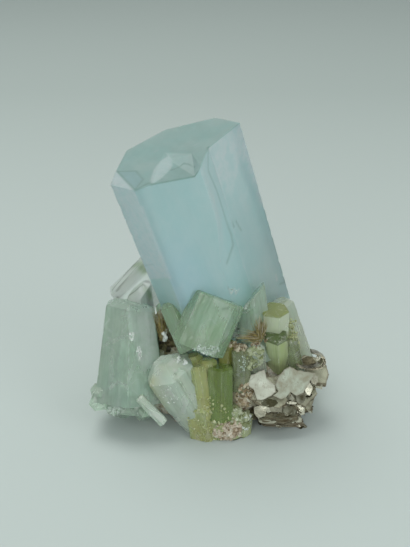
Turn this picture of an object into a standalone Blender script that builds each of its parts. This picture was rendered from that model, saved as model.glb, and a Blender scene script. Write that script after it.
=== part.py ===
# Aquamarine specimen: one big blue beryl prism leaning over a crowd of small green and clear beryl crystals,
# rooted in a lump of feldspar, with books of mica at the right and tufts of brown blades between.
# Lengths below are millimetres and angles are degrees. +X is right, +Y is away from the viewer, +Z is up.
import math
import random

import bmesh
import bpy
from mathutils import Matrix, Vector, noise

MM = 0.001
GAP = 0.3  # clearance between neighbouring pieces
PLANE_SNAP = 1e-7  # metres
WELD = 1e-6  # metres
SIDE_FACES = 6  # of a beryl crystal
BLOCK_LENGTHS = 4  # the block that a crystal is cut from, in lengths of the crystal
BALL_STEPS = 3  # subdivisions of the balls that the rock is made from
FLOOR_BLOCK = 200.0  # side of the block that cuts everything level at the floor

# The big prism: its section seen from above, with a notch at the front right, and the middle of its flat top.
MAIN_TOP = (-5.2, -5.3, 61.3)
MAIN_LEAN = (-16.2, -13.0)
MAIN_TURN = 9.6
MAIN_LENGTH = 56.0
MAIN_SECTION = (
    (-10.0, -8.4),
    (2.9, -8.3),
    (5.8, -2.2),
    (13.4, 3.1),
    (9.5, 8.8),
    (-0.8, 11.2),
    (-9.6, 8.2),
    (-14.3, -2.4),
)
MAIN_BEVEL = (195, 11.8, 8)  # slanting face at the left corner: direction, distance from the middle, steepness

# The piece broken out of the front edge of the top. Each face of the hollow falls away from a point in the plane of
# the top, in a direction, at a steepness: the long left face, the floor, the back and the steep right wall.
CHIP_FACES = (
    ((-6.8, -8.8), -22, 16.7),
    ((-6.8, -8.8), -12, 10.8),
    ((-2.4, 1.9), 229, 16),
    ((2.4, -2.2), 185, 45),
)
CHIP_BLOCK = 30.0  # side of the block that the hollow's shape is cut from

# Each crystal: middle of its top, lean to the right and away, distances between its three pairs of faces,
# length and turn. What follows by name is the taper, the rim (width and steepness of the small faces round
# the top) and the slope of the top (direction and angle).
CRYSTALS = {
    "left_prism": (
        (-15.9, -1.5, 26.9), (1, 18), (9.8, 9.6, 9.4), 21, 2, {"rim": (1.2, 35), "taper": 7, "slope": (0, 8)}
    ),
    "front_stub": ((-8.8, -10.6, 17.8), (-25, -8), (10.2, 9.4, 9.8), 20, 12, {"rim": (3.0, 40)}),
    "stub_step": ((-6.6, -13.2, 16.8), (-25, -8), (4.6, 3.6, 4.4), 14, 12, {"rim": (0.8, 38)}),
    "rod": ((-14.0, -13.6, 10.8), (-40, 4), (2.0, 2.0, 2.0), 8, 10, {"rim": (0.3, 40)}),
    "centre_prism": ((2.9, -7.2, 31.0), (24, 20), (10.2, 6.6, 9.6), 11.5, 24, {"rim": (0.4, 40)}),
    "pointed": ((9.7, -3.4, 29.0), (-8, 8), (6.4, 5.6, 6.2), 14, 0, {"slope": (170, 45), "rim": (0.3, 50)}),
    "olive_top": ((14.6, -5.0, 27.1), (-2, -5), (5.6, 5.4, 5.6), 12, 14, {"rim": (0.3, 40)}),
    "dark_top": ((14.9, -8.0, 22.4), (-6, -20), (4.6, 4.2, 4.6), 11, 0, {"rim": (0.3, 40)}),
    "rim_glass": ((18.0, -5.8, 20.6), (-13, 4), (3.2, 3.4, 3.2), 10, 12, {"rim": (0.4, 45)}),
    "right_back": ((15.4, 2.6, 24.6), (-20, 5), (7.2, 6.6, 7.0), 17, 20, {"rim": (0.8, 45)}),
    "barrel": ((7.4, -9.2, 20.4), (-2, 6), (3.8, 3.5, 3.8), 10, 10, {"rim": (0.9, 50)}),
    "pale_lump": ((10.6, -8.6, 20.8), (-4, -10), (3.4, 3.2, 3.5), 8, 25, {"rim": (1.0, 45)}),
    "olive_lump": ((4.9, -7.6, 20.8), (4, 8), (3.4, 3.2, 3.4), 9, 5, {"rim": (0.5, 45)}),
    "green_hexagon": ((3.2, -10.8, 16.8), (0, 9), (5.2, 4.8, 5.0), 12, 2, {"rim": (0.5, 40)}),
    "yellow_left": ((-1.7, -11.4, 17.2), (-9, 8), (3.4, 3.2, 3.4), 12, 10, {"rim": (0.6, 45)}),
    "yellow_right": ((0.4, -9.8, 17.8), (-7, 10), (3.6, 3.4, 3.5), 12, 30, {"rim": (0.6, 45)}),
    "yellow_back": ((-2.6, -8.6, 18.0), (-14, 6), (3.6, 3.4, 3.6), 12, 20, {"rim": (0.6, 45)}),
    "foot_left": ((-1.0, -11.8, 8.8), (-5, -2), (6.2, 5.6, 6.0), 12, 8, {"rim": (1.0, 45)}),
    "foot_middle": ((2.3, -12.0, 8.2), (-2, -3), (5.0, 4.8, 5.0), 11, 20, {"rim": (0.9, 45)}),
    "foot_right": ((5.4, -11.2, 7.0), (-4, 2), (4.6, 4.4, 4.6), 10, 0, {"rim": (0.8, 45)}),
    "green_foot": ((8.2, -10.6, 5.6), (4, 4), (4.0, 3.8, 4.0), 8, 15, {"rim": (0.7, 45)}),
    "gap_green": ((-7.6, -4.6, 28.6), (-24, 20), (4.6, 4.0, 4.6), 11, 10, {"rim": (1.0, 40)}),
    "clear_bar": ((-10.0, 8.5, 30.0), (46, 14), (9.4, 9.6, 8.8), 11.2, 3, {"rim": (0.25, 40)}),
    "clear_wedge": (
        (-15.0, 2.0, 28.4), (-6, 8), (6.4, 5.2, 6.0), 11, 12, {"slope": (185, 40), "rim": (1.5, 45)}
    ),
    "corner_lump": ((-23.0, -11.4, 11.2), (-30, -40), (3.4, 3.0, 3.6), 6, 10, {"rim": (0.6, 45)}),
    "corner_lower": ((-22.4, -12.4, 8.8), (-12, -62), (4.4, 3.8, 4.0), 7, 36, {"rim": (0.6, 35)}),
    "under_left": ((-19.4, -13.2, 8.4), (-26, -50), (3.6, 4.2, 3.4), 7, 0, {"rim": (0.6, 45)}),
    "under_middle": ((-16.0, -13.4, 8.4), (8, -64), (5.2, 4.2, 4.6), 7, 25, {"rim": (0.5, 40)}),
    "under_right": ((-12.6, -12.8, 8.0), (16, -48), (4.0, 4.4, 3.6), 7, 48, {"rim": (0.6, 45)}),
    "side_left": ((-20.6, 3.6, 14.6), (-32, 6), (5.0, 4.6, 5.0), 15, 8, {"rim": (0.7, 45)}),
    "back_left_low": ((-16.0, 11.0, 15.0), (-32, 24), (6.0, 5.4, 6.0), 18, 16, {"rim": (0.6, 45)}),
    "back_left": ((-9.0, 14.6, 22.0), (-20, 22), (7.4, 6.8, 7.2), 22, 4, {"rim": (0.6, 45)}),
    "back_middle": ((1.6, 20.0, 18.6), (-4, 30), (8.0, 7.0, 7.6), 22, 18, {"rim": (0.8, 45)}),
    "back_tall": ((9.6, 18.4, 24.0), (2, 18), (5.8, 5.4, 5.6), 22, 10, {"rim": (0.5, 45)}),
    "back_right": ((17.0, 13.6, 20.4), (18, 20), (6.8, 6.2, 6.6), 20, 24, {"rim": (0.7, 45)}),
    "side_right": ((22.6, 7.0, 12.6), (38, 8), (5.0, 4.6, 4.8), 15, 6, {"rim": (0.6, 45)}),
    "back_foot_left": ((-5.0, 18.6, 9.0), (-14, 48), (5.0, 4.6, 5.0), 13, 12, {"rim": (0.6, 45)}),
    "back_foot_middle": ((7.4, 22.0, 9.6), (6, 50), (5.4, 5.0, 5.2), 14, 22, {"rim": (0.6, 45)}),
    "back_foot_right": ((18.4, 16.4, 8.4), (40, 40), (4.6, 4.4, 4.6), 13, 2, {"rim": (0.5, 45)}),
}

# Planes where a crystal is broken off: a point on the break and its outward direction.
BREAKS = {
    "front_stub": ((-12.5, -12.0, 10.6), (-0.78, -0.10, -0.62)),
    "stub_step": ((-12.5, -12.0, 10.6), (-0.78, -0.10, -0.62)),
}

# Feldspar lumps: middle and half sizes.
MATRIX_LUMPS = (
    ((3.0, 3.6, 3.0), (15.5, 13.0, 10.5)),
    ((-7.4, 3.4, 13.5), (6.4, 6.0, 9.0)),
    ((10.4, 2.4, 11.5), (8.6, 7.0, 8.0)),
    ((4.6, -9.4, 2.0), (5.4, 5.0, 3.8)),
    ((8.4, -8.2, 8.6), (3.4, 3.4, 4.4)),
    ((-8.0, -3.6, 7.6), (6.0, 5.4, 6.0)),
    ((14.0, -2.5, 8.6), (6.4, 5.0, 6.4)),
)
MATRIX_ROUGHNESS = 0.16
MATRIX_GRAIN = 0.28  # noise waves to a millimetre
LUMP_STEP = 7.0  # how far apart two lumps read the noise

# The two broad pale plates that face the viewer: middle, lean of the sheets' upright, and the outline, which runs
# against the clock from its highest corner.
MICA_PLATES = (
    ((11.9, -11.4, 11.6), (-14, -64), (
        (1.0, 3.9), (-2.0, 2.8), (-2.9, 0.9), (-1.6, -0.2), (-1.0, -2.4), (0.1, -2.5),
        (2.1, -1.7), (3.0, -0.9), (3.0, 0.4), (1.3, 2.0),
    )),
    ((18.8, -11.2, 11.8), (8, -62), (
        (-1.1, 4.2), (-2.3, 3.5), (-3.4, 2.1), (-4.0, 0.3), (-3.4, -1.2), (-4.6, -2.1), (-2.6, -2.7),
        (-1.7, -2.3), (-0.8, -1.1), (0.5, -1.9), (2.0, -1.2), (3.4, 1.3), (4.5, 3.0), (0.6, 3.5),
    )),
)
PLATE_SHEETS = (0.45, 0.0, -0.45)  # height of the middle of each sheet in a plate
PLATE_SHEET = 0.45  # thickness of one
PLATE_SHRINK = 0.05  # how much smaller each sheet is than the one in front of it

# Mica books: middle, lean of the sheets' upright, half sizes, sheets, thickness of one, and the random seed.
MICA_BOOKS = (
    ((14.6, -10.2, 9.0), (0, -45), (4.4, 3.8), 4, 0.80, 17),
    ((15.4, -9.8, 5.4), (2, -14), (5.8, 4.2), 4, 0.90, 5),
    ((16.4, -6.4, 2.2), (4, 8), (5.8, 3.8), 4, 1.10, 11),
    ((19.9, -6.8, 7.8), (30, -30), (4.6, 5.0), 5, 0.80, 14),
    ((23.0, -5.0, 11.2), (20, -24), (4.0, 4.2), 4, 0.60, 21),
)
MICA_CORNERS = 9
CORNER_SWAY = 0.25  # how far a corner of a sheet strays, in steps between corners
CORNER_REACH = (0.80, 1.12)  # how near and far a corner lies, in half sizes
SHEET_REACH = (0.86, 1.06)  # how small and large a whole sheet may be
SHEET_SHIFT = 0.5  # how far a sheet slides off the book's middle
SHEET_OVERLAP = 1.12  # a sheet's real thickness in steps, so that neighbours join
SEED_STEP = 31  # keeps the sheets of different books unlike
CURL_MIDDLE = (22.4, -5.8, 15.3)
CURL_RADII = (3.4, 1.9)
CURL_WALL = 0.5
CURL_WIDTH = 5.0
CURL_STEPS = 10
CURL_ARC = (-160, 80)
CURL_LEAN = (0, -70)

# Blade tufts: root, then the tips of the blades.
TOP_TUFT = (
    (11.6, -10.2, 22.6),
    (
        (9.4, -10.6, 26.2),
        (10.4, -10.8, 27.2),
        (11.4, -10.6, 27.8),
        (12.6, -10.4, 27.4),
        (13.6, -10.2, 26.2),
        (5.0, -11.2, 24.6),
        (5.6, -11.4, 23.4),
        (7.0, -11.0, 25.6),
    ),
)
LEFT_TUFT = (
    (-9.0, -5.4, 20.4),
    (
        (-10.9, -4.6, 27.4),
        (-10.0, -4.4, 28.0),
        (-9.2, -4.6, 26.8),
        (-8.4, -5.2, 25.4),
    ),
)
BLADE_WIDTH = 0.8
BLADE_THICKNESS = 0.45

# Colour, roughness and metallic value of each piece.
FINISHES = {
    "aquamarine_crystals": ((0.52, 0.72, 0.74), 0.12, 0.0),
    "feldspar_matrix": ((0.66, 0.60, 0.52), 0.80, 0.0),
    "mica_books": ((0.50, 0.47, 0.42), 0.35, 0.2),
    "brown_blades_top": ((0.34, 0.24, 0.13), 0.50, 0.0),
    "brown_blades_left": ((0.26, 0.18, 0.09), 0.50, 0.0),
}


def clear_scene():
    for item in list(bpy.data.objects):
        bpy.data.objects.remove(item)


def new_collection(name):
    made = bpy.data.collections.new(name)
    bpy.context.scene.collection.children.link(made)
    return made


def finish_material(name):
    colour, roughness, metallic = FINISHES[name]
    material = bpy.data.materials.new(name)
    material.use_nodes = True
    shader = material.node_tree.nodes["Principled BSDF"]
    shader.inputs["Base Color"].default_value = (*colour, 1.0)
    shader.inputs["Roughness"].default_value = roughness
    shader.inputs["Metallic"].default_value = metallic
    return material


def new_object(name, mesh, collection, place=None):
    made = bpy.data.objects.new(name, mesh)
    collection.objects.link(made)
    made.matrix_world = place or Matrix.Identity(4)
    if collection is helpers:
        made.hide_render = True
        made.display_type = "WIRE"
    return made


def mesh_from(shape, name):
    mesh = bpy.data.meshes.new(name)
    shape.to_mesh(mesh)
    shape.free()
    return mesh


def upright(lean):
    """The unit vector that leans from straight up by the two angles, to the right and away."""
    right, away = lean
    return Vector((math.tan(math.radians(right)), math.tan(math.radians(away)), 1.0)).normalized()


def leaning(point, lean, turn=0):
    """The placement of a shape whose own +Z follows the lean, after a turn about it."""
    tilt = Vector((0, 0, 1)).rotation_difference(upright(lean)).to_matrix().to_4x4()
    return Matrix.Translation(Vector(point) * MM) @ tilt @ Matrix.Rotation(math.radians(turn), 4, "Z")


def slanted(direction, elevation):
    """The unit vector at a compass direction and an elevation above the level."""
    level = math.cos(math.radians(elevation))
    bearing = math.radians(direction)
    return Vector((math.cos(bearing) * level, math.sin(bearing) * level, math.sin(math.radians(elevation))))


def falling(direction, steepness):
    """The level vector that points down a slope, as long as the slope falls over a unit's way."""
    return slanted(direction, 0) * math.tan(math.radians(steepness))


def trim(shape, point, outward):
    """Takes away what lies beyond a plane, and closes the cut with one flat face."""
    everything = shape.verts[:] + shape.edges[:] + shape.faces[:]
    cut = bmesh.ops.bisect_plane(
        shape, geom=everything, dist=PLANE_SNAP, plane_co=point * MM, plane_no=outward, clear_outer=True
    )
    rim = [item for item in cut["geom_cut"] if isinstance(item, bmesh.types.BMEdge)]
    if len(rim) > 2:
        bmesh.ops.edgeloop_fill(shape, edges=rim)


def hexagonal_crystal(flats, length, taper=0, rim=(0, 0), slope=(0, 0)):
    """A block cut by six side faces, a foot, a top and a rim of small faces, its top's middle at zero."""
    shape = bmesh.new()
    bmesh.ops.create_cube(shape, size=BLOCK_LENGTHS * length * MM)
    rim_width, rim_steepness = rim
    cap = falling(*slope) + Vector((0, 0, 1))
    for side in range(SIDE_FACES):
        direction = 360 / SIDE_FACES * side
        half = flats[side % 3] / 2
        trim(shape, slanted(direction, 0) * half, slanted(direction, taper))
        if rim_width:
            edge = slanted(direction, 0) * (half - rim_width)
            edge.z = -edge.dot(falling(*slope))
            trim(shape, edge, (cap + falling(direction, rim_steepness)).normalized())
    trim(shape, Vector((0, 0, 0)), cap.normalized())
    trim(shape, Vector((0, 0, -length)), Vector((0, 0, -1)))
    return shape


def flat_slab(name, outline, thickness):
    """A flat outline given its thickness as a filled curve, turned into a closed mesh about its mid plane."""
    curve = bpy.data.curves.new(name, "CURVE")
    curve.dimensions = "2D"
    curve.fill_mode = "BOTH"
    curve.extrude = thickness / 2 * MM
    spline = curve.splines.new("POLY")
    spline.points.add(len(outline) - 1)
    for point, (x, y) in zip(spline.points, outline):
        point.co = (x * MM, y * MM, 0, 1)
    spline.use_cyclic_u = True
    holder = bpy.data.objects.new(name, curve)
    helpers.objects.link(holder)
    evaluated = holder.evaluated_get(bpy.context.evaluated_depsgraph_get())
    shape = bmesh.new()
    shape.from_mesh(bpy.data.meshes.new_from_object(evaluated))
    bmesh.ops.remove_doubles(shape, verts=shape.verts[:], dist=WELD)
    bmesh.ops.recalc_face_normals(shape, faces=shape.faces[:])
    bpy.data.objects.remove(holder)
    bpy.data.curves.remove(curve)
    return shape


def boolean(target, operation, collection):
    cut = target.modifiers.new(operation.lower(), "BOOLEAN")
    cut.operation = operation
    cut.solver = "EXACT"
    cut.operand_type = "COLLECTION"
    cut.collection = collection


def settle(target):
    """Gives an object the mesh that its modifiers make, without the crumbs that a cut has left."""
    evaluated = target.evaluated_get(bpy.context.evaluated_depsgraph_get())
    mesh = bpy.data.meshes.new_from_object(evaluated)
    target.modifiers.clear()
    target.data = mesh
    shape = bmesh.new()
    shape.from_mesh(mesh)
    unseen = set(shape.verts)
    bodies = []
    while unseen:
        body = {unseen.pop()}
        edge_of_body = list(body)
        while edge_of_body:
            vertex = edge_of_body.pop()
            for edge in vertex.link_edges:
                other = edge.other_vert(vertex)
                if other in unseen:
                    unseen.discard(other)
                    body.add(other)
                    edge_of_body.append(other)
        bodies.append(body)
    bodies.sort(key=len)
    for body in bodies[:-1]:
        bmesh.ops.delete(shape, geom=list(body), context="VERTS")
    shape.to_mesh(mesh)
    shape.free()


def join_bodies(name, collection, pieces):
    """One closed solid from overlapping helper objects."""
    group = bpy.data.collections.new(name + "_pieces")
    helpers.children.link(group)
    for piece in pieces[1:]:
        helpers.objects.unlink(piece)
        group.objects.link(piece)
    first = pieces[0]
    whole = new_object(name, first.data.copy(), collection, first.matrix_world.copy())
    bpy.data.objects.remove(first)
    boolean(whole, "UNION", group)
    settle(whole)
    for piece in list(group.objects):
        bpy.data.objects.remove(piece)
    return whole


def big_prism():
    shape = flat_slab("big_prism", MAIN_SECTION, MAIN_LENGTH)
    bmesh.ops.translate(shape, verts=shape.verts[:], vec=Vector((0, 0, -MAIN_LENGTH / 2 * MM)))
    direction, distance, steepness = MAIN_BEVEL
    trim(shape, slanted(direction, 0) * distance, slanted(direction, 90 - steepness))
    return shape


def beryl(collection):
    pieces = [new_object("big_prism", mesh_from(big_prism(), "big_prism"), helpers)]
    pieces[0].matrix_world = leaning(MAIN_TOP, MAIN_LEAN, MAIN_TURN)
    for name, (top, lean, flats, length, turn, extra) in CRYSTALS.items():
        shape = hexagonal_crystal(flats, length, **extra)
        place = leaning(top, lean, turn)
        if name in BREAKS:
            point, outward = [Vector(values) for values in BREAKS[name]]
            back = place.inverted()
            trim(shape, back @ (point * MM) / MM, back.to_3x3() @ outward)
        pieces.append(new_object(name, mesh_from(shape, name), helpers, place))
    return join_bodies("aquamarine_crystals", collection, pieces)


def chip():
    """A block whose underside is the hollow broken out of the front edge of the big prism's top."""
    shape = bmesh.new()
    bmesh.ops.create_cube(shape, size=CHIP_BLOCK * MM)
    for point, direction, steepness in CHIP_FACES:
        down = -(falling(direction, steepness) + Vector((0, 0, 1)))
        trim(shape, Vector((*point, 0)), down.normalized())
    return new_object("chip", mesh_from(shape, "chip"), helpers, leaning(MAIN_TOP, MAIN_LEAN, MAIN_TURN))


def rock(name, collection, grow=0.0):
    """Rough balls joined in one lump."""
    pieces = []
    for number, (middle, halves) in enumerate(MATRIX_LUMPS):
        shape = bmesh.new()
        bmesh.ops.create_icosphere(shape, subdivisions=BALL_STEPS, radius=1.0)
        for vertex in shape.verts:
            outward = vertex.co.copy()
            at = Vector([outward[i] * halves[i] for i in range(3)])
            reading = at * MATRIX_GRAIN + Vector((number * LUMP_STEP, 0, 0))
            swell = 1 + MATRIX_ROUGHNESS * noise.noise(reading)
            vertex.co = (at * swell + outward * grow) * MM
        place = Matrix.Translation(Vector(middle) * MM)
        pieces.append(new_object("lump", mesh_from(shape, "lump"), helpers, place))
    return join_bodies(name, collection, pieces)


def ragged_outline(halves, seed, shrink):
    """A many-cornered outline about an oval."""
    pick = random.Random(seed)
    points = []
    for corner in range(MICA_CORNERS):
        angle = math.tau * (corner + pick.uniform(-CORNER_SWAY, CORNER_SWAY)) / MICA_CORNERS
        reach = pick.uniform(*CORNER_REACH) * shrink
        points.append((math.cos(angle) * halves[0] * reach, math.sin(angle) * halves[1] * reach))
    return points


def curled_sheet(grow):
    """One sheet bent round part of an oval, as a band of its wall's thickness given its width."""
    outline = []
    start, end = CURL_ARC
    for inward, angles in ((-grow, (start, end)), (CURL_WALL + grow, (end, start))):
        for step in range(CURL_STEPS + 1):
            angle = math.radians(angles[0] + (angles[1] - angles[0]) * step / CURL_STEPS)
            across, up = [radius - inward for radius in CURL_RADII]
            outline.append((math.cos(angle) * across, math.sin(angle) * up))
    shape = flat_slab("curl", outline, CURL_WIDTH + 2 * grow)
    return new_object("curl", mesh_from(shape, "curl"), helpers, leaning(CURL_MIDDLE, CURL_LEAN))


def outset(outline, distance):
    """The outline with each of its sides moved outward."""
    corners = [Vector(corner) for corner in outline]
    moved = []
    for number, corner in enumerate(corners):
        before = (corner - corners[number - 1]).normalized()
        after = (corners[(number + 1) % len(corners)] - corner).normalized()
        outward = Vector((before.y + after.y, -before.x - after.x))
        moved.append(corner + outward * distance / (1 + before.dot(after)))
    return moved


def mica_plate(middle, lean, outline, grow):
    """A few sheets of one outline, each smaller than the one in front of it."""
    made = []
    for number, height in enumerate(PLATE_SHEETS):
        shrink = 1 - PLATE_SHRINK * number
        corners = outset([(x * shrink, y * shrink) for x, y in outline], grow)
        shape = flat_slab("sheet", corners, PLATE_SHEET * SHEET_OVERLAP + 2 * grow)
        place = leaning(middle, lean) @ Matrix.Translation(Vector((0, 0, height)) * MM)
        made.append(new_object("sheet", mesh_from(shape, "sheet"), helpers, place))
    return made


def mica(name, collection, grow=0.0):
    """Plates, books of stacked ragged sheets, and one curled sheet, joined."""
    pieces = []
    for middle, lean, outline in MICA_PLATES:
        pieces += mica_plate(middle, lean, outline, grow)
    for middle, lean, halves, sheets, thickness, seed in MICA_BOOKS:
        frame = leaning(middle, lean)
        for sheet in range(sheets):
            pick = random.Random(seed * SEED_STEP + sheet)
            reach = pick.uniform(*SHEET_REACH)
            outline = ragged_outline([half + grow for half in halves], seed + sheet, reach)
            shape = flat_slab("sheet", outline, thickness * SHEET_OVERLAP + 2 * grow)
            shift = [pick.uniform(-SHEET_SHIFT, SHEET_SHIFT) for _ in range(2)]
            height = (sheet - (sheets - 1) / 2) * thickness
            place = frame @ Matrix.Translation(Vector((*shift, height)) * MM)
            pieces.append(new_object("sheet", mesh_from(shape, "sheet"), helpers, place))
    pieces.append(curled_sheet(grow))
    return join_bodies(name, collection, pieces)


def tuft(name, collection, root_and_tips, grow=0.0):
    """Thin blades that fan out from one root."""
    root, tips = root_and_tips
    root = Vector(root)
    pieces = []
    for tip in tips:
        along = Vector(tip) - root
        size = (BLADE_WIDTH + 2 * grow, BLADE_THICKNESS + 2 * grow, along.length + 2 * grow)
        shape = bmesh.new()
        bmesh.ops.create_cube(shape, size=1.0, matrix=Matrix.Diagonal((*[side * MM for side in size], 1.0)))
        middle = Matrix.Translation((root + along / 2) * MM)
        place = middle @ along.to_track_quat("Z", "Y").to_matrix().to_4x4()
        pieces.append(new_object("blade", mesh_from(shape, "blade"), helpers, place))
    return join_bodies(name, collection, pieces)


def floor_block():
    shape = bmesh.new()
    bmesh.ops.create_cube(shape, size=FLOOR_BLOCK * MM)
    place = Matrix.Translation(Vector((0, 0, -FLOOR_BLOCK / 2 * MM)))
    return new_object("floor_block", mesh_from(shape, "floor_block"), helpers, place)


def carve(target, cutters):
    """Cuts every cutter's space out of a piece."""
    group = bpy.data.collections.new(target.name + "_cutters")
    helpers.children.link(group)
    for cutter in cutters:
        group.objects.link(cutter)
    boolean(target, "DIFFERENCE", group)
    settle(target)


clear_scene()
specimen = new_collection("aquamarine_specimen")
helpers = new_collection("helpers")

floor = floor_block()
top_tuft = tuft("brown_blades_top", specimen, TOP_TUFT)
left_tuft = tuft("brown_blades_left", specimen, LEFT_TUFT)
books = mica("mica_books", specimen)
matrix = rock("feldspar_matrix", specimen)
crystals = beryl(specimen)

room_for_tufts = [tuft("room_top", helpers, TOP_TUFT, GAP), tuft("room_left", helpers, LEFT_TUFT, GAP)]
room_for_books = mica("room_books", helpers, GAP)
room_for_matrix = rock("room_matrix", helpers, GAP)

carve(books, [floor] + room_for_tufts)
carve(matrix, [floor, room_for_books] + room_for_tufts)
carve(crystals, [floor, room_for_books, room_for_matrix, chip()] + room_for_tufts)

for piece in (crystals, matrix, books, top_tuft, left_tuft):
    piece.data.materials.clear()
    piece.data.materials.append(finish_material(piece.name))
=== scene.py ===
import math
import random

import bpy
import numpy as np
from mathutils import Matrix, Vector


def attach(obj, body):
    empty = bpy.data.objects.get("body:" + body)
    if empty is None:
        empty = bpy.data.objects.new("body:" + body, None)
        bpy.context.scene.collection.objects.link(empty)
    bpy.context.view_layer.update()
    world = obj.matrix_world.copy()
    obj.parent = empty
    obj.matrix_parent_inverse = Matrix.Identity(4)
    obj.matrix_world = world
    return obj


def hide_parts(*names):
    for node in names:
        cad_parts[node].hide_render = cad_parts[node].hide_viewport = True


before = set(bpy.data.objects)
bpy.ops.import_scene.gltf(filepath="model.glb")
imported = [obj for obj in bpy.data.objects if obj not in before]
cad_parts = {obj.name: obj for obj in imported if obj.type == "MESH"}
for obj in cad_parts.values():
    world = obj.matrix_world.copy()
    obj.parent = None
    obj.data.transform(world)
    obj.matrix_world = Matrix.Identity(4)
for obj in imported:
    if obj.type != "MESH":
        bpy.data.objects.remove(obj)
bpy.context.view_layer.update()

mm = 0.001
floorGap = 0.02  # millimetres that the lowest points stay above the floor
creaseAngle = math.radians(24)  # faces that meet more sharply than this keep a crisp edge
nodeSpacing = 220  # between a material's nodes in the editor
waveCount = 9
wavePace = (0.6, 1.7)  # how many waves fit in their size
waveGain = 1.8  # brings the mean of the waves to about -1 to 1
skins = {}  # each piece's points in millimetres, for the grains that sit on it


def report(stage, pieces):
    triangles = sum(len(piece.data.loops) - 2 * len(piece.data.polygons) for piece in pieces)
    print(stage, len(pieces), "pieces", triangles, "triangles")


# Smooth unevenness from about -1 to 1: the mean of sine waves in random directions, about `size` long. An
# `upright` below 1 draws them out along z.
def waves(points, size, seed, upright=1):
    draw = np.random.default_rng(seed)
    way = draw.normal(size=(waveCount, 3))
    way *= (draw.uniform(*wavePace, waveCount) * 2 * np.pi / size / np.linalg.norm(way, axis=1))[:, None]
    phase = draw.uniform(0, 2 * np.pi, waveCount)
    return np.sin(points * [1, 1, upright] @ way.T + phase).mean(-1) * waveGain


# Several waves together, each given by its size, its draw-out along z and its strength.
def layered(points, kinds, seed):
    return sum(strength * waves(points, size, seed + number, upright)
               for number, (size, upright, strength) in enumerate(kinds))


# Rounds values to level steps.
def stepped(values, steps):
    return np.round(values * steps) / steps


# How near each point is to a drawn line: a bell curve of its distance from the line's nearest stretch.
def nearLine(points, line, width):
    line = np.array(line, float)
    nearest = np.full(points.shape[:-1], np.inf)
    for start, end in zip(line[:-1], line[1:]):
        along = end - start
        part = np.clip((points - start) @ along / (along @ along), 0, 1)
        nearest = np.minimum(nearest, np.linalg.norm(points - start - part[..., None] * along, axis=-1))
    return np.exp(-(nearest / width) ** 2)


# Rises smoothly from 0 at `low` to 1 at `high`.
def ramp(value, low, high):
    part = np.clip((value - low) / (high - low), 0, 1)
    return part * part * (3 - 2 * part)


# The turn that lays a shape's own upright along the lean
# (degrees to the right and away), after a turn about it.
def leaning(lean, turn=0):
    right, away = [math.tan(math.radians(angle)) for angle in lean]
    tilt = Vector((0, 0, 1)).rotation_difference(Vector((right, away, 1)))
    return np.array(tilt.to_matrix() @ Matrix.Rotation(math.radians(turn), 3, "Z"))


# A seed for a piece's random draws, from its name.
def seedOf(name):
    return sum(ord(letter) * (place + 3) for place, letter in enumerate(name))


# Puts points in millimetres, faces and marks into a mesh that rides on the specimen. The floor cuts it level.
def makePiece(name, points, faces, finish, marks=None, replaced="aquamarine_crystals"):
    points = np.column_stack([points[:, :2], np.maximum(points[:, 2], floorGap)])
    skins[name] = points
    mesh = bpy.data.meshes.new(name)
    corners = np.concatenate([part.ravel() for part in faces])
    sizes = np.concatenate([np.full(len(part), part.shape[1]) for part in faces])
    mesh.vertices.add(len(points))
    mesh.vertices.foreach_set("co", (points * mm).astype(np.float32).ravel())
    mesh.loops.add(len(corners))
    mesh.polygons.add(len(sizes))
    mesh.polygons.foreach_set("loop_start", np.cumsum(sizes) - sizes)
    mesh.polygons.foreach_set("vertices", corners)
    mesh.update(calc_edges=True)
    for key, values in (marks or {}).items():
        mark = mesh.attributes.new(key, "FLOAT", "POINT")
        mark.data.foreach_set("value", values.astype(np.float32).ravel())
    mesh.shade_smooth()
    mesh.set_sharp_from_angle(angle=creaseAngle)
    mesh.materials.append(finish)
    piece = bpy.data.objects.new(name, mesh)
    bpy.context.scene.collection.objects.link(piece)
    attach(piece, "root")
    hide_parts(replaced)
    return piece


# Faces of a skin of rows by columns that closes round, with one point more at each end: quads between the
# rows and a fan at either end. Rows run from the foot up and columns run against the clock.
def skinFaces(rows, columns):
    row, column = np.meshgrid(np.arange(rows - 1), np.arange(columns), indexing="ij")
    beside = (column + 1) % columns
    quads = np.stack([row * columns + column, row * columns + beside, (row + 1) * columns + beside,
                      (row + 1) * columns + column], -1).reshape(-1, 4)
    around = np.arange(columns)
    after = (around + 1) % columns
    foot, top = rows * columns, rows * columns + 1
    last = (rows - 1) * columns
    fans = np.concatenate([np.stack([np.full(columns, foot), after, around], -1),
                           np.stack([np.full(columns, top), last + around, last + after], -1)])
    return [quads, fans]


# The upright of each point of a skin: the cross product of its steps along the columns and along the rows.
def skinNormals(grid):
    along = np.roll(grid, -1, 1) - np.roll(grid, 1, 1)
    up = np.gradient(grid, axis=0)
    normal = np.cross(along, up)
    return normal / np.maximum(np.linalg.norm(normal, axis=-1, keepdims=True), 1e-9)


# A ball of radius one: points by their tilt from level and their bearing, and its two ends.
def ballRings(tilt, bearing):
    return np.stack([np.cos(tilt) * np.cos(bearing), np.cos(tilt) * np.sin(bearing),
                     np.sin(tilt) + 0 * bearing], -1)


ballEnds = np.array([[0, 0, -1.0], [0, 0, 1.0]])


# Materials

def newMaterial(name):
    material = bpy.data.materials.new(name)
    material.use_nodes = True
    tree = material.node_tree
    tree.nodes.clear()
    return material, tree


# Adds a node, sets its plain values and joins its inputs to other nodes' outputs.
def node(tree, kind, values=None, links=None, **settings):
    made = tree.nodes.new(kind)
    made.location = (nodeSpacing * len(tree.nodes), 0)
    for key, value in settings.items():
        setattr(made, key, value)
    for key, value in (values or {}).items():
        made.inputs[key].default_value = value
    for key, source in (links or {}).items():
        tree.links.new(source, made.inputs[key])
    return made


def colour(values):
    return (*values, 1.0)


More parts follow.
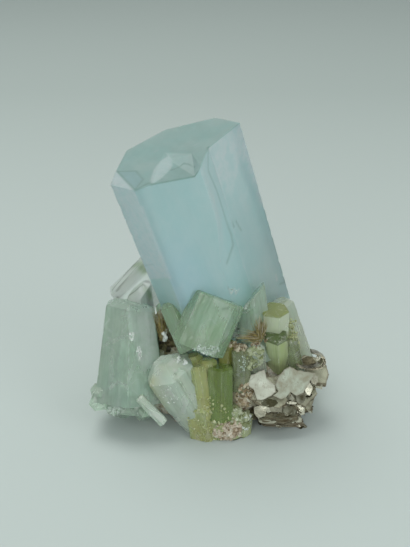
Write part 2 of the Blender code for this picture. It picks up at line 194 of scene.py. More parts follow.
# Joins an input to another node's output, or sets its plain number or colour.
def give(tree, socket, value):
    if isinstance(value, bpy.types.NodeSocket):
        tree.links.new(value, socket)
    else:
        socket.default_value = colour(value) if isinstance(value, tuple) else value


# Mixes two colours, plain or from nodes, by a factor.
def mixed(tree, factor, first, second):
    blend = node(tree, "ShaderNodeMix", data_type="RGBA")
    for place, value in ((0, factor), (6, first), (7, second)):
        give(tree, blend.inputs[place], value)
    return blend.outputs[2]


def stretched(tree, source, low, high, to=(0, 1)):
    values = {"From Min": low, "From Max": high, "To Min": to[0], "To Max": to[1]}
    return node(tree, "ShaderNodeMapRange", values, {"Value": source}, clamp=True).outputs[0]


def maths(tree, operation, first, second):
    made = node(tree, "ShaderNodeMath", operation=operation)
    give(tree, made.inputs[0], first)
    give(tree, made.inputs[1], second)
    return made.outputs[0]


def times(tree, first, second):
    return maths(tree, "MULTIPLY", first, second)


def plus(tree, first, second):
    return maths(tree, "ADD", first, second)


def objectPlace(tree):
    return node(tree, "ShaderNodeTexCoord").outputs["Object"]


def mapped(tree, place, values):
    return node(tree, "ShaderNodeMapping", values, {"Vector": place}).outputs[0]


def noise(tree, place, scale, detail, **more):
    values = {"Scale": scale, "Detail": detail, **more}
    return node(tree, "ShaderNodeTexNoise", values, {"Vector": place}).outputs[0]


# How far a noise lies from its middle value: nothing along thin wandering lines.
def crackLines(tree, place, scale, detail, distortion):
    wander = noise(tree, place, scale, detail, Distortion=distortion)
    return maths(tree, "ABSOLUTE", maths(tree, "SUBTRACT", wander, 0.5), 0.0)


# The value of one of the mesh's own marks.
def meshMark(tree, name):
    return node(tree, "ShaderNodeAttribute", attribute_name=name).outputs["Fac"]


# Ends a material: a bump of its own strength and depth,
# the shader, and what a clear stone's inside takes away.
def finished(material, tree, body, rough, height, relief, values=None, inside=None):
    strength, depth = relief
    bump = node(tree, "ShaderNodeBump", {"Strength": strength, "Distance": depth}, {"Height": height})
    shader = node(tree, "ShaderNodeBsdfPrincipled", values, {"Base Color": body, "Normal": bump.outputs[0]})
    give(tree, shader.inputs["Roughness"], rough)
    end = node(tree, "ShaderNodeOutputMaterial", None, {"Surface": shader.outputs[0]})
    if inside is not None:
        tree.links.new(inside, end.inputs["Volume"])
    return material


# What all the beryl shares: how far lines and clouds are drawn out along the crystal, the scale of its specks
# and the scale, detail and distortion of its cracks.
beryl = {
    "ior": 1.577,
    "drawnLines": (1, 1, 0.05),
    "drawnClouds": (1, 1, 0.35),
    "specks": 1900,
    "speckRelief": 1.6,
    "cracks": (170, 2, 0.8),
    "crackWidth": 0.022,
    "frostRoughness": 0.28,
    "bumpDepth": 0.00012,
}


# A beryl crystal: clear to milky glass with cloudy zones, veils along cracks, pale and dark streaks and fine
# lines along its length, and frost, shade and darkness where the mesh's marks say so; part of the frost is
# painted highlight and part of the darkness painted shade. `turned` is the crystal's own turn, which the
# lines follow.
def crystalFinish(name, look, turned):
    material, tree = newMaterial(name)
    along = mapped(tree, objectPlace(tree), {"Rotation": Matrix(turned.T.tolist()).to_euler()})
    lines = noise(tree, mapped(tree, along, {"Scale": beryl["drawnLines"]}), look["lines"], 3)
    cloud = noise(tree, mapped(tree, along, {"Scale": beryl["drawnClouds"]}), look["cloud"], 4)
    mottle = noise(tree, along, look["mottle"], 6, Roughness=0.65)
    speck = noise(tree, along, beryl["specks"], 3)
    frost, shade, dark, lined = [meshMark(tree, key) for key in ("frost", "shade", "dark", "lined")]
    crack = stretched(tree, crackLines(tree, along, *beryl["cracks"]), 0, beryl["crackWidth"],
                      (look["veil"], 0))
    veil = times(tree, crack, stretched(tree, cloud, 0.45, 0.6))
    white = times(tree, frost, stretched(tree, mottle, 0.36, 0.62, (look["broken"], 1)))
    paleStreak = times(tree, stretched(tree, lines, 0.54, 0.72, (0, look["streaks"])), lined)
    darkStreak = times(tree, stretched(tree, lines, 0.46, 0.28, (0, look["streaks"])), lined)
    body = mixed(tree, stretched(tree, cloud, 0.38, 0.66), look["tint"], look["tintOther"])
    body = mixed(tree, shade, body, look["shade"])
    body = mixed(tree, maths(tree, "MAXIMUM", white, veil), body, look["frost"])
    body = mixed(tree, paleStreak, body, look["frost"])
    body = mixed(tree, darkStreak, body, look["dark"])
    body = mixed(tree, dark, body, look["dark"])
    uneven = plus(tree, times(tree, cloud, 0.7), times(tree, lines, 0.3))
    rough = stretched(tree, uneven, 0.4, 0.62, look["rough"])
    rough = plus(tree, rough, times(tree, frost, beryl["frostRoughness"]))
    specks = times(tree, times(tree, speck, frost), beryl["speckRelief"])
    height = plus(tree, times(tree, lines, lined), specks)
    absorbed = {"Color": colour(look["absorb"]), "Density": look["density"]}
    inside = node(tree, "ShaderNodeVolumeAbsorption", absorbed).outputs[0]
    values = {"IOR": beryl["ior"], "Transmission Weight": look["through"], "Specular IOR Level": 0.5}
    return finished(material, tree, body, rough, height, (look["relief"], beryl["bumpDepth"]), values, inside)


# Looks of the beryl, a row each: two cloudy tints, the tint of shaded zones, the colours of frost, which also
# paints highlights, and of dark marks, what the inside takes away and how thickly, the share of light let
# through, least and most roughness, relief, scales of the lines and the clouds, and strength of the veils.
lookParts = ("tint", "tintOther", "shade", "frost", "dark", "absorb", "density", "through", "rough", "relief",
             "lines", "cloud", "veil")
lookRows = {
    "blue": ((0.56, 0.8, 0.77), (0.72, 0.85, 0.82), (0.64, 0.84, 0.92), (0.97, 0.98, 1.0), (0.33, 0.49, 0.44),
             (0.22, 0.78, 0.82), 11, 0.66, (0.28, 0.34), 0.05, 2200, 150, 0.12),
    "sea": ((0.7, 0.88, 0.72), (0.8, 0.92, 0.78), (0.62, 0.78, 0.52), (0.94, 0.98, 0.92), (0.28, 0.38, 0.26),
            (0.2, 0.72, 0.42), 20, 0.66, (0.1, 0.22), 0.2, 2400, 260, 0.5),
    "mist": ((0.56, 0.73, 0.62), (0.67, 0.82, 0.69), (0.6, 0.7, 0.56), (0.92, 0.98, 0.94), (0.26, 0.36, 0.3),
             (0.25, 0.72, 0.52), 20, 0.66, (0.12, 0.24), 0.16, 2000, 220, 0.6),
    "moss": ((0.5, 0.68, 0.46), (0.6, 0.76, 0.54), (0.48, 0.6, 0.34), (0.9, 0.96, 0.88), (0.2, 0.3, 0.16),
             (0.2, 0.72, 0.38), 24, 0.66, (0.1, 0.24), 0.18, 2400, 300, 0.4),
    "dew": ((0.78, 0.94, 0.8), (0.88, 0.98, 0.86), (0.78, 0.84, 0.58), (0.97, 1.0, 0.95), (0.34, 0.44, 0.32),
            (0.4, 0.82, 0.55), 12, 0.54, (0.12, 0.28), 0.32, 1800, 360, 0.9),
    "pale": ((0.78, 0.9, 0.76), (0.88, 0.94, 0.82), (0.76, 0.78, 0.48), (0.96, 0.98, 0.93), (0.3, 0.36, 0.26),
             (0.35, 0.8, 0.45), 20, 0.58, (0.1, 0.26), 0.24, 2600, 420, 0.5),
    "leaf": ((0.9, 1.0, 0.7), (0.95, 1.0, 0.8), (0.56, 0.6, 0.22), (0.94, 0.98, 0.88), (0.18, 0.24, 0.08),
             (0.4, 0.82, 0.3), 14, 0.5, (0.1, 0.24), 0.3, 2600, 420, 0.5),
    "green": ((0.86, 1.0, 0.54), (0.92, 1.0, 0.66), (0.52, 0.58, 0.16), (0.9, 0.95, 0.8), (0.16, 0.22, 0.08),
              (0.34, 0.74, 0.12), 28, 0.58, (0.08, 0.2), 0.24, 3000, 420, 0.4),
    "deep": ((0.31, 0.46, 0.1), (0.4, 0.55, 0.17), (0.36, 0.38, 0.06), (0.8, 0.86, 0.62), (0.1, 0.14, 0.04),
             (0.3, 0.62, 0.08), 80, 0.66, (0.08, 0.2), 0.22, 3000, 420, 0.25),
    "olive": ((0.46, 0.46, 0.08), (0.62, 0.64, 0.22), (0.36, 0.28, 0.05), (0.86, 0.86, 0.6),
              (0.12, 0.1, 0.02), (0.45, 0.58, 0.04), 80, 0.6, (0.1, 0.26), 0.24, 3000, 520, 0.3),
    "yellow": ((0.8, 0.84, 0.34), (0.66, 0.76, 0.36), (0.74, 0.62, 0.2), (0.96, 0.95, 0.76),
               (0.28, 0.24, 0.08), (0.7, 0.8, 0.12), 50, 0.58, (0.1, 0.3), 0.28, 3000, 600, 0.5),
    "clear": ((0.96, 1.0, 0.97), (0.92, 0.98, 0.94), (0.3, 0.46, 0.2), (0.98, 1.0, 0.98), (0.1, 0.14, 0.1),
              (0.6, 0.85, 0.7), 6, 0.72, (0.28, 0.34), 0.05, 2000, 300, 0.25),
    "grey": ((0.46, 0.54, 0.3), (0.38, 0.44, 0.22), (0.38, 0.37, 0.16), (0.94, 0.97, 0.93), (0.14, 0.17, 0.1),
             (0.45, 0.68, 0.24), 36, 0.66, (0.06, 0.16), 0.22, 2600, 500, 0.5),
}
lookShared = {"mottle": 900, "broken": 0.5, "streaks": 0.22}
looks = {name: {**lookShared, **dict(zip(lookParts, row))} for name, row in lookRows.items()}
looks["blue"].update(mottle=700, broken=0.62, streaks=0.04)


# Beryl crystals

edgeStrip = 0.16  # millimetres from a corner to the column beside it


# Corners of a six-sided section: side k faces 60 k degrees
# at its own distance, and a corner is where two meet.
def sectionCorners(distances):
    before = np.radians(60.0 * np.arange(6) - 60)
    here = np.radians(60.0 * np.arange(6))
    near, far = np.roll(distances, 1), distances
    turn = np.sin(here - before)
    return np.stack([(near * np.sin(here) - far * np.sin(before)) / turn,
                     (far * np.cos(before) - near * np.cos(here)) / turn], -1)


# How far a plane has fallen at each point: the way from its start along its direction, times its steepness.
def fallen(x, y, start, facing, steepness):
    facing = math.radians(facing)
    way = (x - start[0]) * math.cos(facing) + (y - start[1]) * math.sin(facing)
    return way * math.tan(math.radians(steepness))


# The top's height over its own level: the sloping cap, less the fall of the small planes round the rim.
def topHeight(x, y, halves, rim, slope):
    width, steepness = rim
    rimFall = 0 * x
    for side in range(6):
        angle = math.radians(60 * side)
        start = [(halves[side] - width) * math.cos(angle), (halves[side] - width) * math.sin(angle)]
        rimFall = np.maximum(rimFall, fallen(x, y, start, 60 * side, steepness))
    return -fallen(x, y, (0, 0), *slope) - rimFall


# Which side each column of a skin belongs to and how far
# along that side it lies, with columns close by each corner.
def columnsOf(widths, counts, close):
    side = np.repeat(np.arange(len(counts)), counts)
    part = [np.concatenate([[0], np.linspace(close / width, 1 - close / width, count - 1)])
            for width, count in zip(widths, counts)]
    return side, np.concatenate(part)


# Rows of a skin between rings of section corners: every ring is filled
# in along its sides by columns, and rows run straight from ring to ring.
def ringRows(rings, steps, counts, side, part):
    part = part[None, :, None]
    rings = np.array(rings)
    filled = rings[:, side] * (1 - part) + rings[:, (side + 1) % len(counts)] * part
    rows = []
    kinds = []
    for kind, (low, high, count) in enumerate(zip(filled[:-1], filled[1:], steps)):
        rise = (np.arange(count) + (1 if kind == 0 else 0))[:, None, None] / count
        rows.append(low * (1 - rise) + high * rise)
        kinds.append(np.full(count, kind))
    span = np.linalg.norm(rings[1][(side + 1) % len(counts)] - rings[1][side], axis=-1)
    fromCorner = np.minimum(part[0, :, 0], 1 - part[0, :, 0]) * span
    return np.concatenate(rows), np.concatenate(kinds), fromCorner


# Rows of a smaller crystal from the middle of its foot to the middle of its cap, before any waves or wear.
def crystalRows(halves, length, rim, taper, slope, cell):
    rimDrop = -rim[0] * math.tan(math.radians(rim[1]))
    widen = math.tan(math.radians(taper))
    low = sectionCorners(halves + length * widen)
    flat = np.zeros((6, 1))
    rings = [np.zeros((6, 3)) - [0, 0, length], np.hstack([low, flat - length]),
             np.hstack([sectionCorners(halves - rimDrop * widen), flat + rimDrop]),
             np.hstack([sectionCorners(halves - rim[0]), flat]), np.zeros((6, 3))]
    widths = np.linalg.norm(np.roll(low, -1, 0) - low, axis=-1)
    counts = np.maximum(4, np.round(widths / cell)).astype(int)
    steps = [3, max(8, round(length / cell)), 3, max(4, round((halves.min() - rim[0]) / cell))]
    side, part = columnsOf(widths, counts, edgeStrip)
    grid, kinds, fromCorner = ringRows(rings, steps, counts, side, part)
    height = topHeight(grid[..., 0], grid[..., 1], halves, rim, slope)
    edge = topHeight(*grid[kinds == 2][0][:, :2].T, halves, rim, slope)
    sides = kinds == 1
    climb = (grid[sides][..., 2] + length) / (length + rimDrop)
    grid[sides, :, 2] = -length + climb * (length + edge)
    grid[kinds > 1, :, 2] = height[kinds > 1]
    return grid, kinds, fromCorner


# The share of its width that a crystal keeps at each point where a plane breaks it, given by a point on the
# plane and its outward way: the reach of the plane in the point's direction, r, softened as (1+r^-5)^(-1/5).
def keptWidth(grid, cut, top, turned):
    point, outward = [np.array(values) for values in cut]
    outward = outward @ turned
    bound = (point - np.array(top)) @ turned @ outward
    across = grid[..., :2] @ outward[:2]
    room = bound - grid[..., 2] * outward[2]
    reach = np.where(across > 1e-6, np.maximum(room, 1e-6) / np.maximum(across, 1e-6), 9)
    return np.clip((1 + np.minimum(reach, 9) ** -5.0) ** (-1 / 5), 0.02, 1)


# Adds drawn lines to a crystal's marks and keeps the marks between 0 and 1.
def withLines(marked, points, drawn):
    for mark, width, strength, line in drawn:
        marked[mark] = marked[mark] + strength * nearLine(points, line, width)
    return {mark: np.clip(values, 0, 1) for mark, values in marked.items()}


# How worn each point is: a bell curve of its distance from
# the nearest corner of the section, made uneven by waves.
def wornEdges(grid, fromCorner, skin, seed):
    least = skin["wornLeast"]
    worn = np.exp(-(fromCorner / skin["wornStrip"]) ** 2)[None, :]
    return worn * (least + (1 - least) * ramp(waves(grid, skin["wornWaves"], seed), *skin["wornFades"]))


# The skins of the smaller crystals: waves by size,
# draw-out along z and strength, then wear, breaks and marks.
growth = {
    "lines": ((0.9, 0.05, 0.6), (2.2, 0.03, 1)),
    "terraces": (4.0, 0.35),
    "terraceSteps": 2,
    "unevenness": ((1.3, 1, 0.5), (3.5, 1, 1)),
    "shares": (0.8, 0.6, 0.5),
    "wornStrip": 0.14,
    "wornLeast": 0.35,
    "wornWaves": 2.4,
    "wornFades": (0.0, 0.8),
    "wornFrostAndHighlight": 0.7,
    "broken": (0.98, 0.8),
    "brokenWaves": 1.1,
    "brokenDepth": 0.16,
    "brokenFrostAndLight": 0.9,
    "frostWaves": (3.2, 0.5),
    "shadeWaves": (5.0, 0.4),
}


# One crystal. Foot, side, rim and cap rows join the section's rings; then small waves, lines along its length
# and wear at the edges move each point along the skin's upright.
def crystal(name, top, lean, flats, length, turn, kind, rim, drawn, taper=0, slope=(0, 0), cell=0.3, cut=None,
            grown=0.06, frosted=0.3, shaded=0.35, wear=0.08, capPaintedShadeTint=0.0, capPaintedShade=0.0):
    seed = seedOf(name)
    turned = leaning(lean, turn)
    halves = np.array([flats[side % 3] / 2 for side in range(6)])
    grid, kinds, fromCorner = crystalRows(halves, length, rim, taper, slope, cell)
    sides = kinds == 1
    kept = keptWidth(grid, cut, top, turned) if cut else np.ones(grid.shape[:2])
    grid[..., :2] *= kept[..., None]
    broken = ramp(kept, *growth["broken"])
    normal = skinNormals(grid)
    size, upright = growth["terraces"]
    waved = (layered(grid, growth["lines"], seed) * sides[:, None],
             stepped(waves(grid, size, seed + 2, upright), growth["terraceSteps"]),
             layered(grid, growth["unevenness"], seed + 3))
    worn = wornEdges(grid, fromCorner, growth, seed + 5)
    shift = grown * sum(share * part for share, part in zip(growth["shares"], waved))
    shift = shift + broken * growth["brokenDepth"] * waves(grid, growth["brokenWaves"], seed + 6)
    grid = grid + normal * (shift - wear * worn)[..., None]
    points = np.concatenate([grid.reshape(-1, 3), [[0, 0, -length]], [[0, 0, grid[-1, :, 2].mean()]]])
    size, upright = growth["frostWaves"]
    frost = frosted * ramp(waves(points, size, seed + 7, upright), 0.1, 0.9)
    # Frost on the worn edges is wear and painted highlight at once; on the broken faces it is frost and
    # painted light on faces turned from the lamps.
    frost[:worn.size] += (growth["wornFrostAndHighlight"] * worn + growth["brokenFrostAndLight"] * broken).ravel()
    size, upright = growth["shadeWaves"]
    shade = shaded * ramp(waves(points, size, seed + 8, upright), -0.2, 0.9)
    # The cap's shade tint and darkness, set for some crystals, are painted shade of their mirror-like top
    # faces.
    capped = np.append(np.repeat(kinds > 1, grid.shape[1]), [0, 1])
    lined = np.append(np.repeat(sides, grid.shape[1]), [0, 0]) * 1.0
    marked = {"frost": frost, "shade": shade + capPaintedShadeTint * capped, "lined": lined, "dark": capPaintedShade * capped}
    world = points @ turned.T + top
    finish = crystalFinish(name, looks[kind], turned)
    return makePiece(name, world, skinFaces(*grid.shape[:2]), finish,
                     withLines(marked, world, drawn))


# Each: middle of the top, lean, distances between opposite
# sides, length, turn, look, and its rim's width and steepness.
crystals = {
    "leftPrism": ((-15.9, -1.5, 26.9), (1, 18), (9.8, 9.6, 9.4), 21, 2, "mist", (1.2, 35)),
    "frontStub": ((-8.8, -10.6, 17.8), (-25, -8), (10.2, 9.4, 9.8), 20, 12, "dew", (3, 40)),
    "stubStep": ((-6.6, -13.2, 16.8), (-25, -8), (4.6, 3.6, 4.4), 14, 12, "dew", (0.8, 38)),
    "rod": ((-14, -13.6, 10.8), (-40, 4), (2, 2, 2), 8, 10, "dew", (0.3, 40)),
    "centrePrism": ((2.9, -7.2, 31), (24, 20), (10.2, 6.6, 9.6), 11.5, 24, "moss", (0.4, 40)),
    "pointed": ((9.7, -3.4, 29), (-8, 8), (6.4, 5.6, 6.2), 14, 0, "sea", (0.3, 50)),
    "oliveTop": ((14.6, -5, 27.1), (-2, -5), (5.6, 5.4, 5.6), 12, 14, "leaf", (0.3, 40)),
    "darkTop": ((14.9, -8, 22.4), (-6, -20), (4.6, 4.2, 4.6), 11, 0, "green", (0.3, 40)),
    "rimGlass": ((18, -5.8, 20.6), (-13, 4), (3.2, 3.4, 3.2), 10, 12, "grey", (0.4, 45)),
    "rightBack": ((15.4, 2.6, 24.6), (-20, 5), (7.2, 6.6, 7), 17, 20, "pale", (0.8, 45)),
    "barrel": ((7.4, -9.2, 20.4), (-2, 6), (3.8, 3.5, 3.8), 10, 10, "grey", (0.9, 50)),
    "paleLump": ((10.6, -8.6, 20.8), (-4, -10), (3.4, 3.2, 3.5), 8, 25, "pale", (1.0, 45)),
    "oliveLump": ((4.9, -7.6, 20.8), (4, 8), (3.4, 3.2, 3.4), 9, 5, "olive", (0.5, 45)),
    "greenHexagon": ((3.2, -10.8, 16.8), (0, 9), (5.2, 4.8, 5), 12, 2, "deep", (0.5, 40)),
    "yellowLeft": ((-1.7, -11.4, 17.2), (-9, 8), (3.4, 3.2, 3.4), 12, 10, "yellow", (0.6, 45)),
    "yellowRight": ((0.4, -9.8, 17.8), (-7, 10), (3.6, 3.4, 3.5), 12, 30, "yellow", (0.6, 45)),
    "yellowBack": ((-2.6, -8.6, 18), (-14, 6), (3.6, 3.4, 3.6), 12, 20, "yellow", (0.6, 45)),
    "footLeft": ((-1.0, -11.8, 8.8), (-5, -2), (6.2, 5.6, 6), 12, 8, "yellow", (1.0, 45)),
    "footMiddle": ((2.3, -12, 8.2), (-2, -3), (5, 4.8, 5), 11, 20, "yellow", (0.9, 45)),
    "footRight": ((5.4, -11.2, 7), (-4, 2), (4.6, 4.4, 4.6), 10, 0, "green", (0.8, 45)),
    "greenFoot": ((8.2, -10.6, 5.6), (4, 4), (4, 3.8, 4), 8, 15, "green", (0.7, 45)),
    "gapGreen": ((-7.6, -4.6, 28.6), (-24, 20), (4.6, 4, 4.6), 11, 10, "moss", (1.0, 40)),
    "clearBar": ((-10, 8.5, 30), (46, 14), (9.4, 9.6, 8.8), 11.2, 3, "clear", (0.25, 40)),
    "clearWedge": ((-15, 2, 28.4), (-6, 8), (6.4, 5.2, 6), 11, 12, "clear", (1.5, 45)),
    "cornerLump": ((-23, -11.4, 11.2), (-30, -40), (3.4, 3, 3.6), 6, 10, "sea", (0.6, 45)),
    "cornerLower": ((-22.4, -12.4, 8.8), (-12, -62), (4.4, 3.8, 4), 7, 36, "sea", (0.6, 35)),
    "underLeft": ((-19.4, -13.2, 8.4), (-26, -50), (3.6, 4.2, 3.4), 7, 0, "sea", (0.6, 45)),
    "underMiddle": ((-16, -13.4, 8.4), (8, -64), (5.2, 4.2, 4.6), 7, 25, "sea", (0.5, 40)),
    "underRight": ((-12.6, -12.8, 8), (16, -48), (4, 4.4, 3.6), 7, 48, "sea", (0.6, 45)),
    "sideLeft": ((-20.6, 3.6, 14.6), (-32, 6), (5, 4.6, 5), 15, 8, "sea", (0.7, 45)),
    "backLeftLow": ((-16, 11, 15), (-32, 24), (6, 5.4, 6), 18, 16, "pale", (0.6, 45)),
    "backLeft": ((-9, 14.6, 22), (-20, 22), (7.4, 6.8, 7.2), 22, 4, "sea", (0.6, 45)),
    "backMiddle": ((1.6, 20, 18.6), (-4, 30), (8, 7, 7.6), 22, 18, "green", (0.8, 45)),
    "backTall": ((9.6, 18.4, 24), (2, 18), (5.8, 5.4, 5.6), 22, 10, "sea", (0.5, 45)),
    "backRight": ((17, 13.6, 20.4), (18, 20), (6.8, 6.2, 6.6), 20, 24, "pale", (0.7, 45)),
    "sideRight": ((22.6, 7, 12.6), (38, 8), (5, 4.6, 4.8), 15, 6, "green", (0.6, 45)),
    "backFootLeft": ((-5, 18.6, 9), (-14, 48), (5, 4.6, 5), 13, 12, "pale", (0.6, 45)),
    "backFootMiddle": ((7.4, 22, 9.6), (6, 50), (5.4, 5, 5.2), 14, 22, "sea", (0.6, 45)),
    "backFootRight": ((18.4, 16.4, 8.4), (40, 40), (4.6, 4.4, 4.6), 13, 2, "yellow", (0.5, 45)),
}
# What is special to some of them.
stubBreak = ((-12.5, -12.0, 10.6), (-0.78, -0.10, -0.62))
crystalExtras = {
    "leftPrism": {"taper": 7, "slope": (0, 8), "cell": 0.24, "frosted": 0.4},
    "frontStub": {"cut": stubBreak, "grown": 0.09, "frosted": 0.6, "cell": 0.24},
    "stubStep": {"cut": stubBreak, "cell": 0.24},
    "rod": {"cell": 0.2, "wear": 0.14, "frosted": 0.8},
    "centrePrism": {"cell": 0.22},
    "pointed": {"slope": (170, 45)},
    "oliveTop": {"capPaintedShadeTint": 1.0, "capPaintedShade": 0.44},
    "darkTop": {"capPaintedShadeTint": 0.6, "capPaintedShade": 1.0},
    "rightBack": {"shaded": 0.8},
    "paleLump": {"grown": 0.16},
    "footLeft": {"frosted": 0.6},
    "footMiddle": {"frosted": 0.6},
    "gapGreen": {"shaded": 1.0},
    "clearBar": {"frosted": 0.1, "shaded": 0.1},
    "clearWedge": {"slope": (185, 40), "frosted": 0.1, "shaded": 0.25},
}
# Lines drawn on some of them: mark, width, strength and points.
crystalLines = {
    "leftPrism": (
        ("frost", 0.34, 1.0, ((-15.6, -9.0, 23.5), (-14.8, -9.2, 22.0))),
        ("frost", 0.34, 1.0, ((-14.2, -9.4, 20.8), (-13.6, -10.0, 18.6), (-13.3, -10.3, 17.0))),
        ("dark", 0.22, 0.4, ((-16.0, -8.9, 23.8), (-15.3, -9.1, 21.6), (-14.2, -9.6, 18.6))),
        ("frost", 0.30, 0.45, ((-21.1, -7.9, 20.0), (-17.8, -8.8, 22.2), (-15.4, -9.1, 23.1),
                               (-13.6, -7.7, 23.5))),
        ("frost", 0.30, 0.45, ((-13.6, -7.7, 23.5), (-11.6, -7.8, 20.0))),
        ("frost", 0.40, 0.5, ((-20.0, -12.4, 12.2), (-18.2, -12.6, 14.0), (-16.0, -14.2, 13.3))),
        ("frost", 0.26, 0.6, ((-15.8, -2.5, 27.2), (-13.4, -2.9, 27.0), (-11.2, -4.3, 26.3))),
        ("frost", 3.0, 1.0, ((-12.4, -6.4, 24.8), (-11.8, -8.4, 18.0))),
    ),
    "frontStub": (
        ("shade", 1.80, 0.7, ((-10.8, -13.0, 13.4), (-9.6, -12.8, 9.0))),
        # These two frost lines are painted highlights of the stub's glassy streaks.
        ("frost", 0.40, 0.7, ((-8.6, -14.0, 14.6), (-7.6, -14.2, 11.0), (-6.6, -13.8, 6.6))),
        ("frost", 0.24, 0.8, ((-7.4, -14.6, 14.2), (-6.4, -14.6, 10.4))),
        ("dark", 0.20, 0.35, ((-8.0, -14.2, 13.6), (-6.9, -14.2, 9.6), (-5.9, -13.8, 5.6))),
        ("shade", 0.7, 1.0, ((-11.3, -13.2, 14.4), (-11.0, -12.9, 12.0), (-10.4, -12.4, 9.6))),
        ("dark", 0.25, 0.6, ((-11.9, -13.0, 13.6), (-11.2, -12.9, 10.8), (-9.8, -12.8, 6.8))),
    ),
    "stubStep": (
        ("dark", 0.22, 0.8, ((-7.2, -13.3, 17.2), (-6.0, -14.4, 16.9), (-4.7, -15.0, 14.6))),
        ("frost", 0.28, 0.8, ((-6.9, -13.6, 16.8), (-6.2, -14.6, 15.6), (-5.2, -15.0, 13.4))),
    ),
    "centrePrism": (
        ("frost", 1.30, 0.5, ((3.4, -10.7, 31.2), (5.1, -11.7, 28.0), (4.3, -11.9, 24.7))),
        ("frost", 0.70, 0.6, ((-2.4, -14.2, 22.0), (0.0, -14.3, 21.8), (2.6, -14.2, 22.2))),
        ("dark", 0.3, 0.6, ((3.6, -11.0, 30.2), (4.6, -11.0, 30.4))),
        ("frost", 0.3, 0.6, ((-1.4, -8.9, 32.6), (3.0, -9.4, 31.0), (7.0, -9.8, 29.6))),
    ),
    "clearBar": (
        # Dark lines along the bar's outline: painted shade for the dark edges that the clear crystal shows by
        # refraction.
        ("dark", 0.30, 0.9, ((-14.6, 10.7, 32.0), (-17.8, 8.8, 28.9), (-20.7, 6.3, 26.1),
                             (-19.2, 3.1, 25.6))),
        ("dark", 0.22, 0.7, ((-14.8, 6.3, 31.9), (-17.0, 5.1, 29.8), (-19.5, 4.0, 26.9))),
        ("shade", 1.10, 0.8, ((-15.8, 9.0, 31.0), (-14.3, 6.4, 32.3), (-13.4, 4.7, 31.6))),
    ),
    "clearWedge": (
        # Dark lines along the wedge's edges: painted shade, as on the bar.
        ("dark", 0.24, 0.9, ((-13.3, 1.5, 29.8), (-15.2, 1.4, 28.1), (-17.0, 2.0, 26.4))),
        ("shade", 0.40, 0.9, ((-13.2, 1.3, 28.9), (-15.0, 1.2, 27.3))),
        ("dark", 0.20, 0.6, ((-13.2, 1.3, 29.7), (-12.3, 0.5, 28.8), (-11.7, 0.7, 27.5))),
        ("shade", 0.80, 0.9, ((-12.6, 0.7, 28.6), (-11.9, 0.6, 27.2))),
    ),
    "rightBack": (("shade", 2.4, 1.0, ((18.6, -2.8, 23.0), (20.6, -2.6, 16.0))),),
}
smallCrystals = []
for crystalName, shape in crystals.items():
    drawn = crystalLines.get(crystalName, ())
    smallCrystals.append(crystal(crystalName, *shape, drawn, **crystalExtras.get(crystalName, {})))
report("crystals", smallCrystals)


# The big prism: eight-cornered section with a notch at the front right that closes lower down, a flat top
# with a slanting corner at the left, and a hollow broken out of its front edge.
prism = {
    "top": (-5.2, -5.3, 61.3),
    "lean": (-16.2, -13.0),
    "turn": 9.6,
    "length": 56.0,
    "section": ((-10.0, -8.4), (2.9, -8.3), (5.8, -2.2), (13.4, 3.1), (9.5, 8.8), (-0.8, 11.2), (-9.6, 8.2),
                (-14.3, -2.4)),
    "notchEnds": (-26.0, -10.0),
    "roundFrom": -2.5,
    "bevel": (195, 11.8, 8),
    "hollow": (((-6.8, -8.8), -22, 16.7), ((-6.8, -8.8), -12, 10.8), ((-2.4, 1.9), 229, 16),
               ((2.4, -2.2), 185, 45)),
    "hub": (2.4, -2.2),
    "topRows": 56,
    "cell": 0.25,
    "edge": 0.975,
    "edgeDrop": 0.12,
    "crescent": ((-6.7, -8.6), (-4.8, -7.2), (-2.5, -4.4), (-1.7, -3.0), (-1.6, -0.6), (-2.0, 0.5),
                 (-3.8, -1.1), (-5.4, -3.2), (-6.6, -6.8)),
    "cornerFacet": ((-12.4, 0.8), (-9.9, -8.3), (-7.9, -5.6), (-8.8, -1.5)),
}
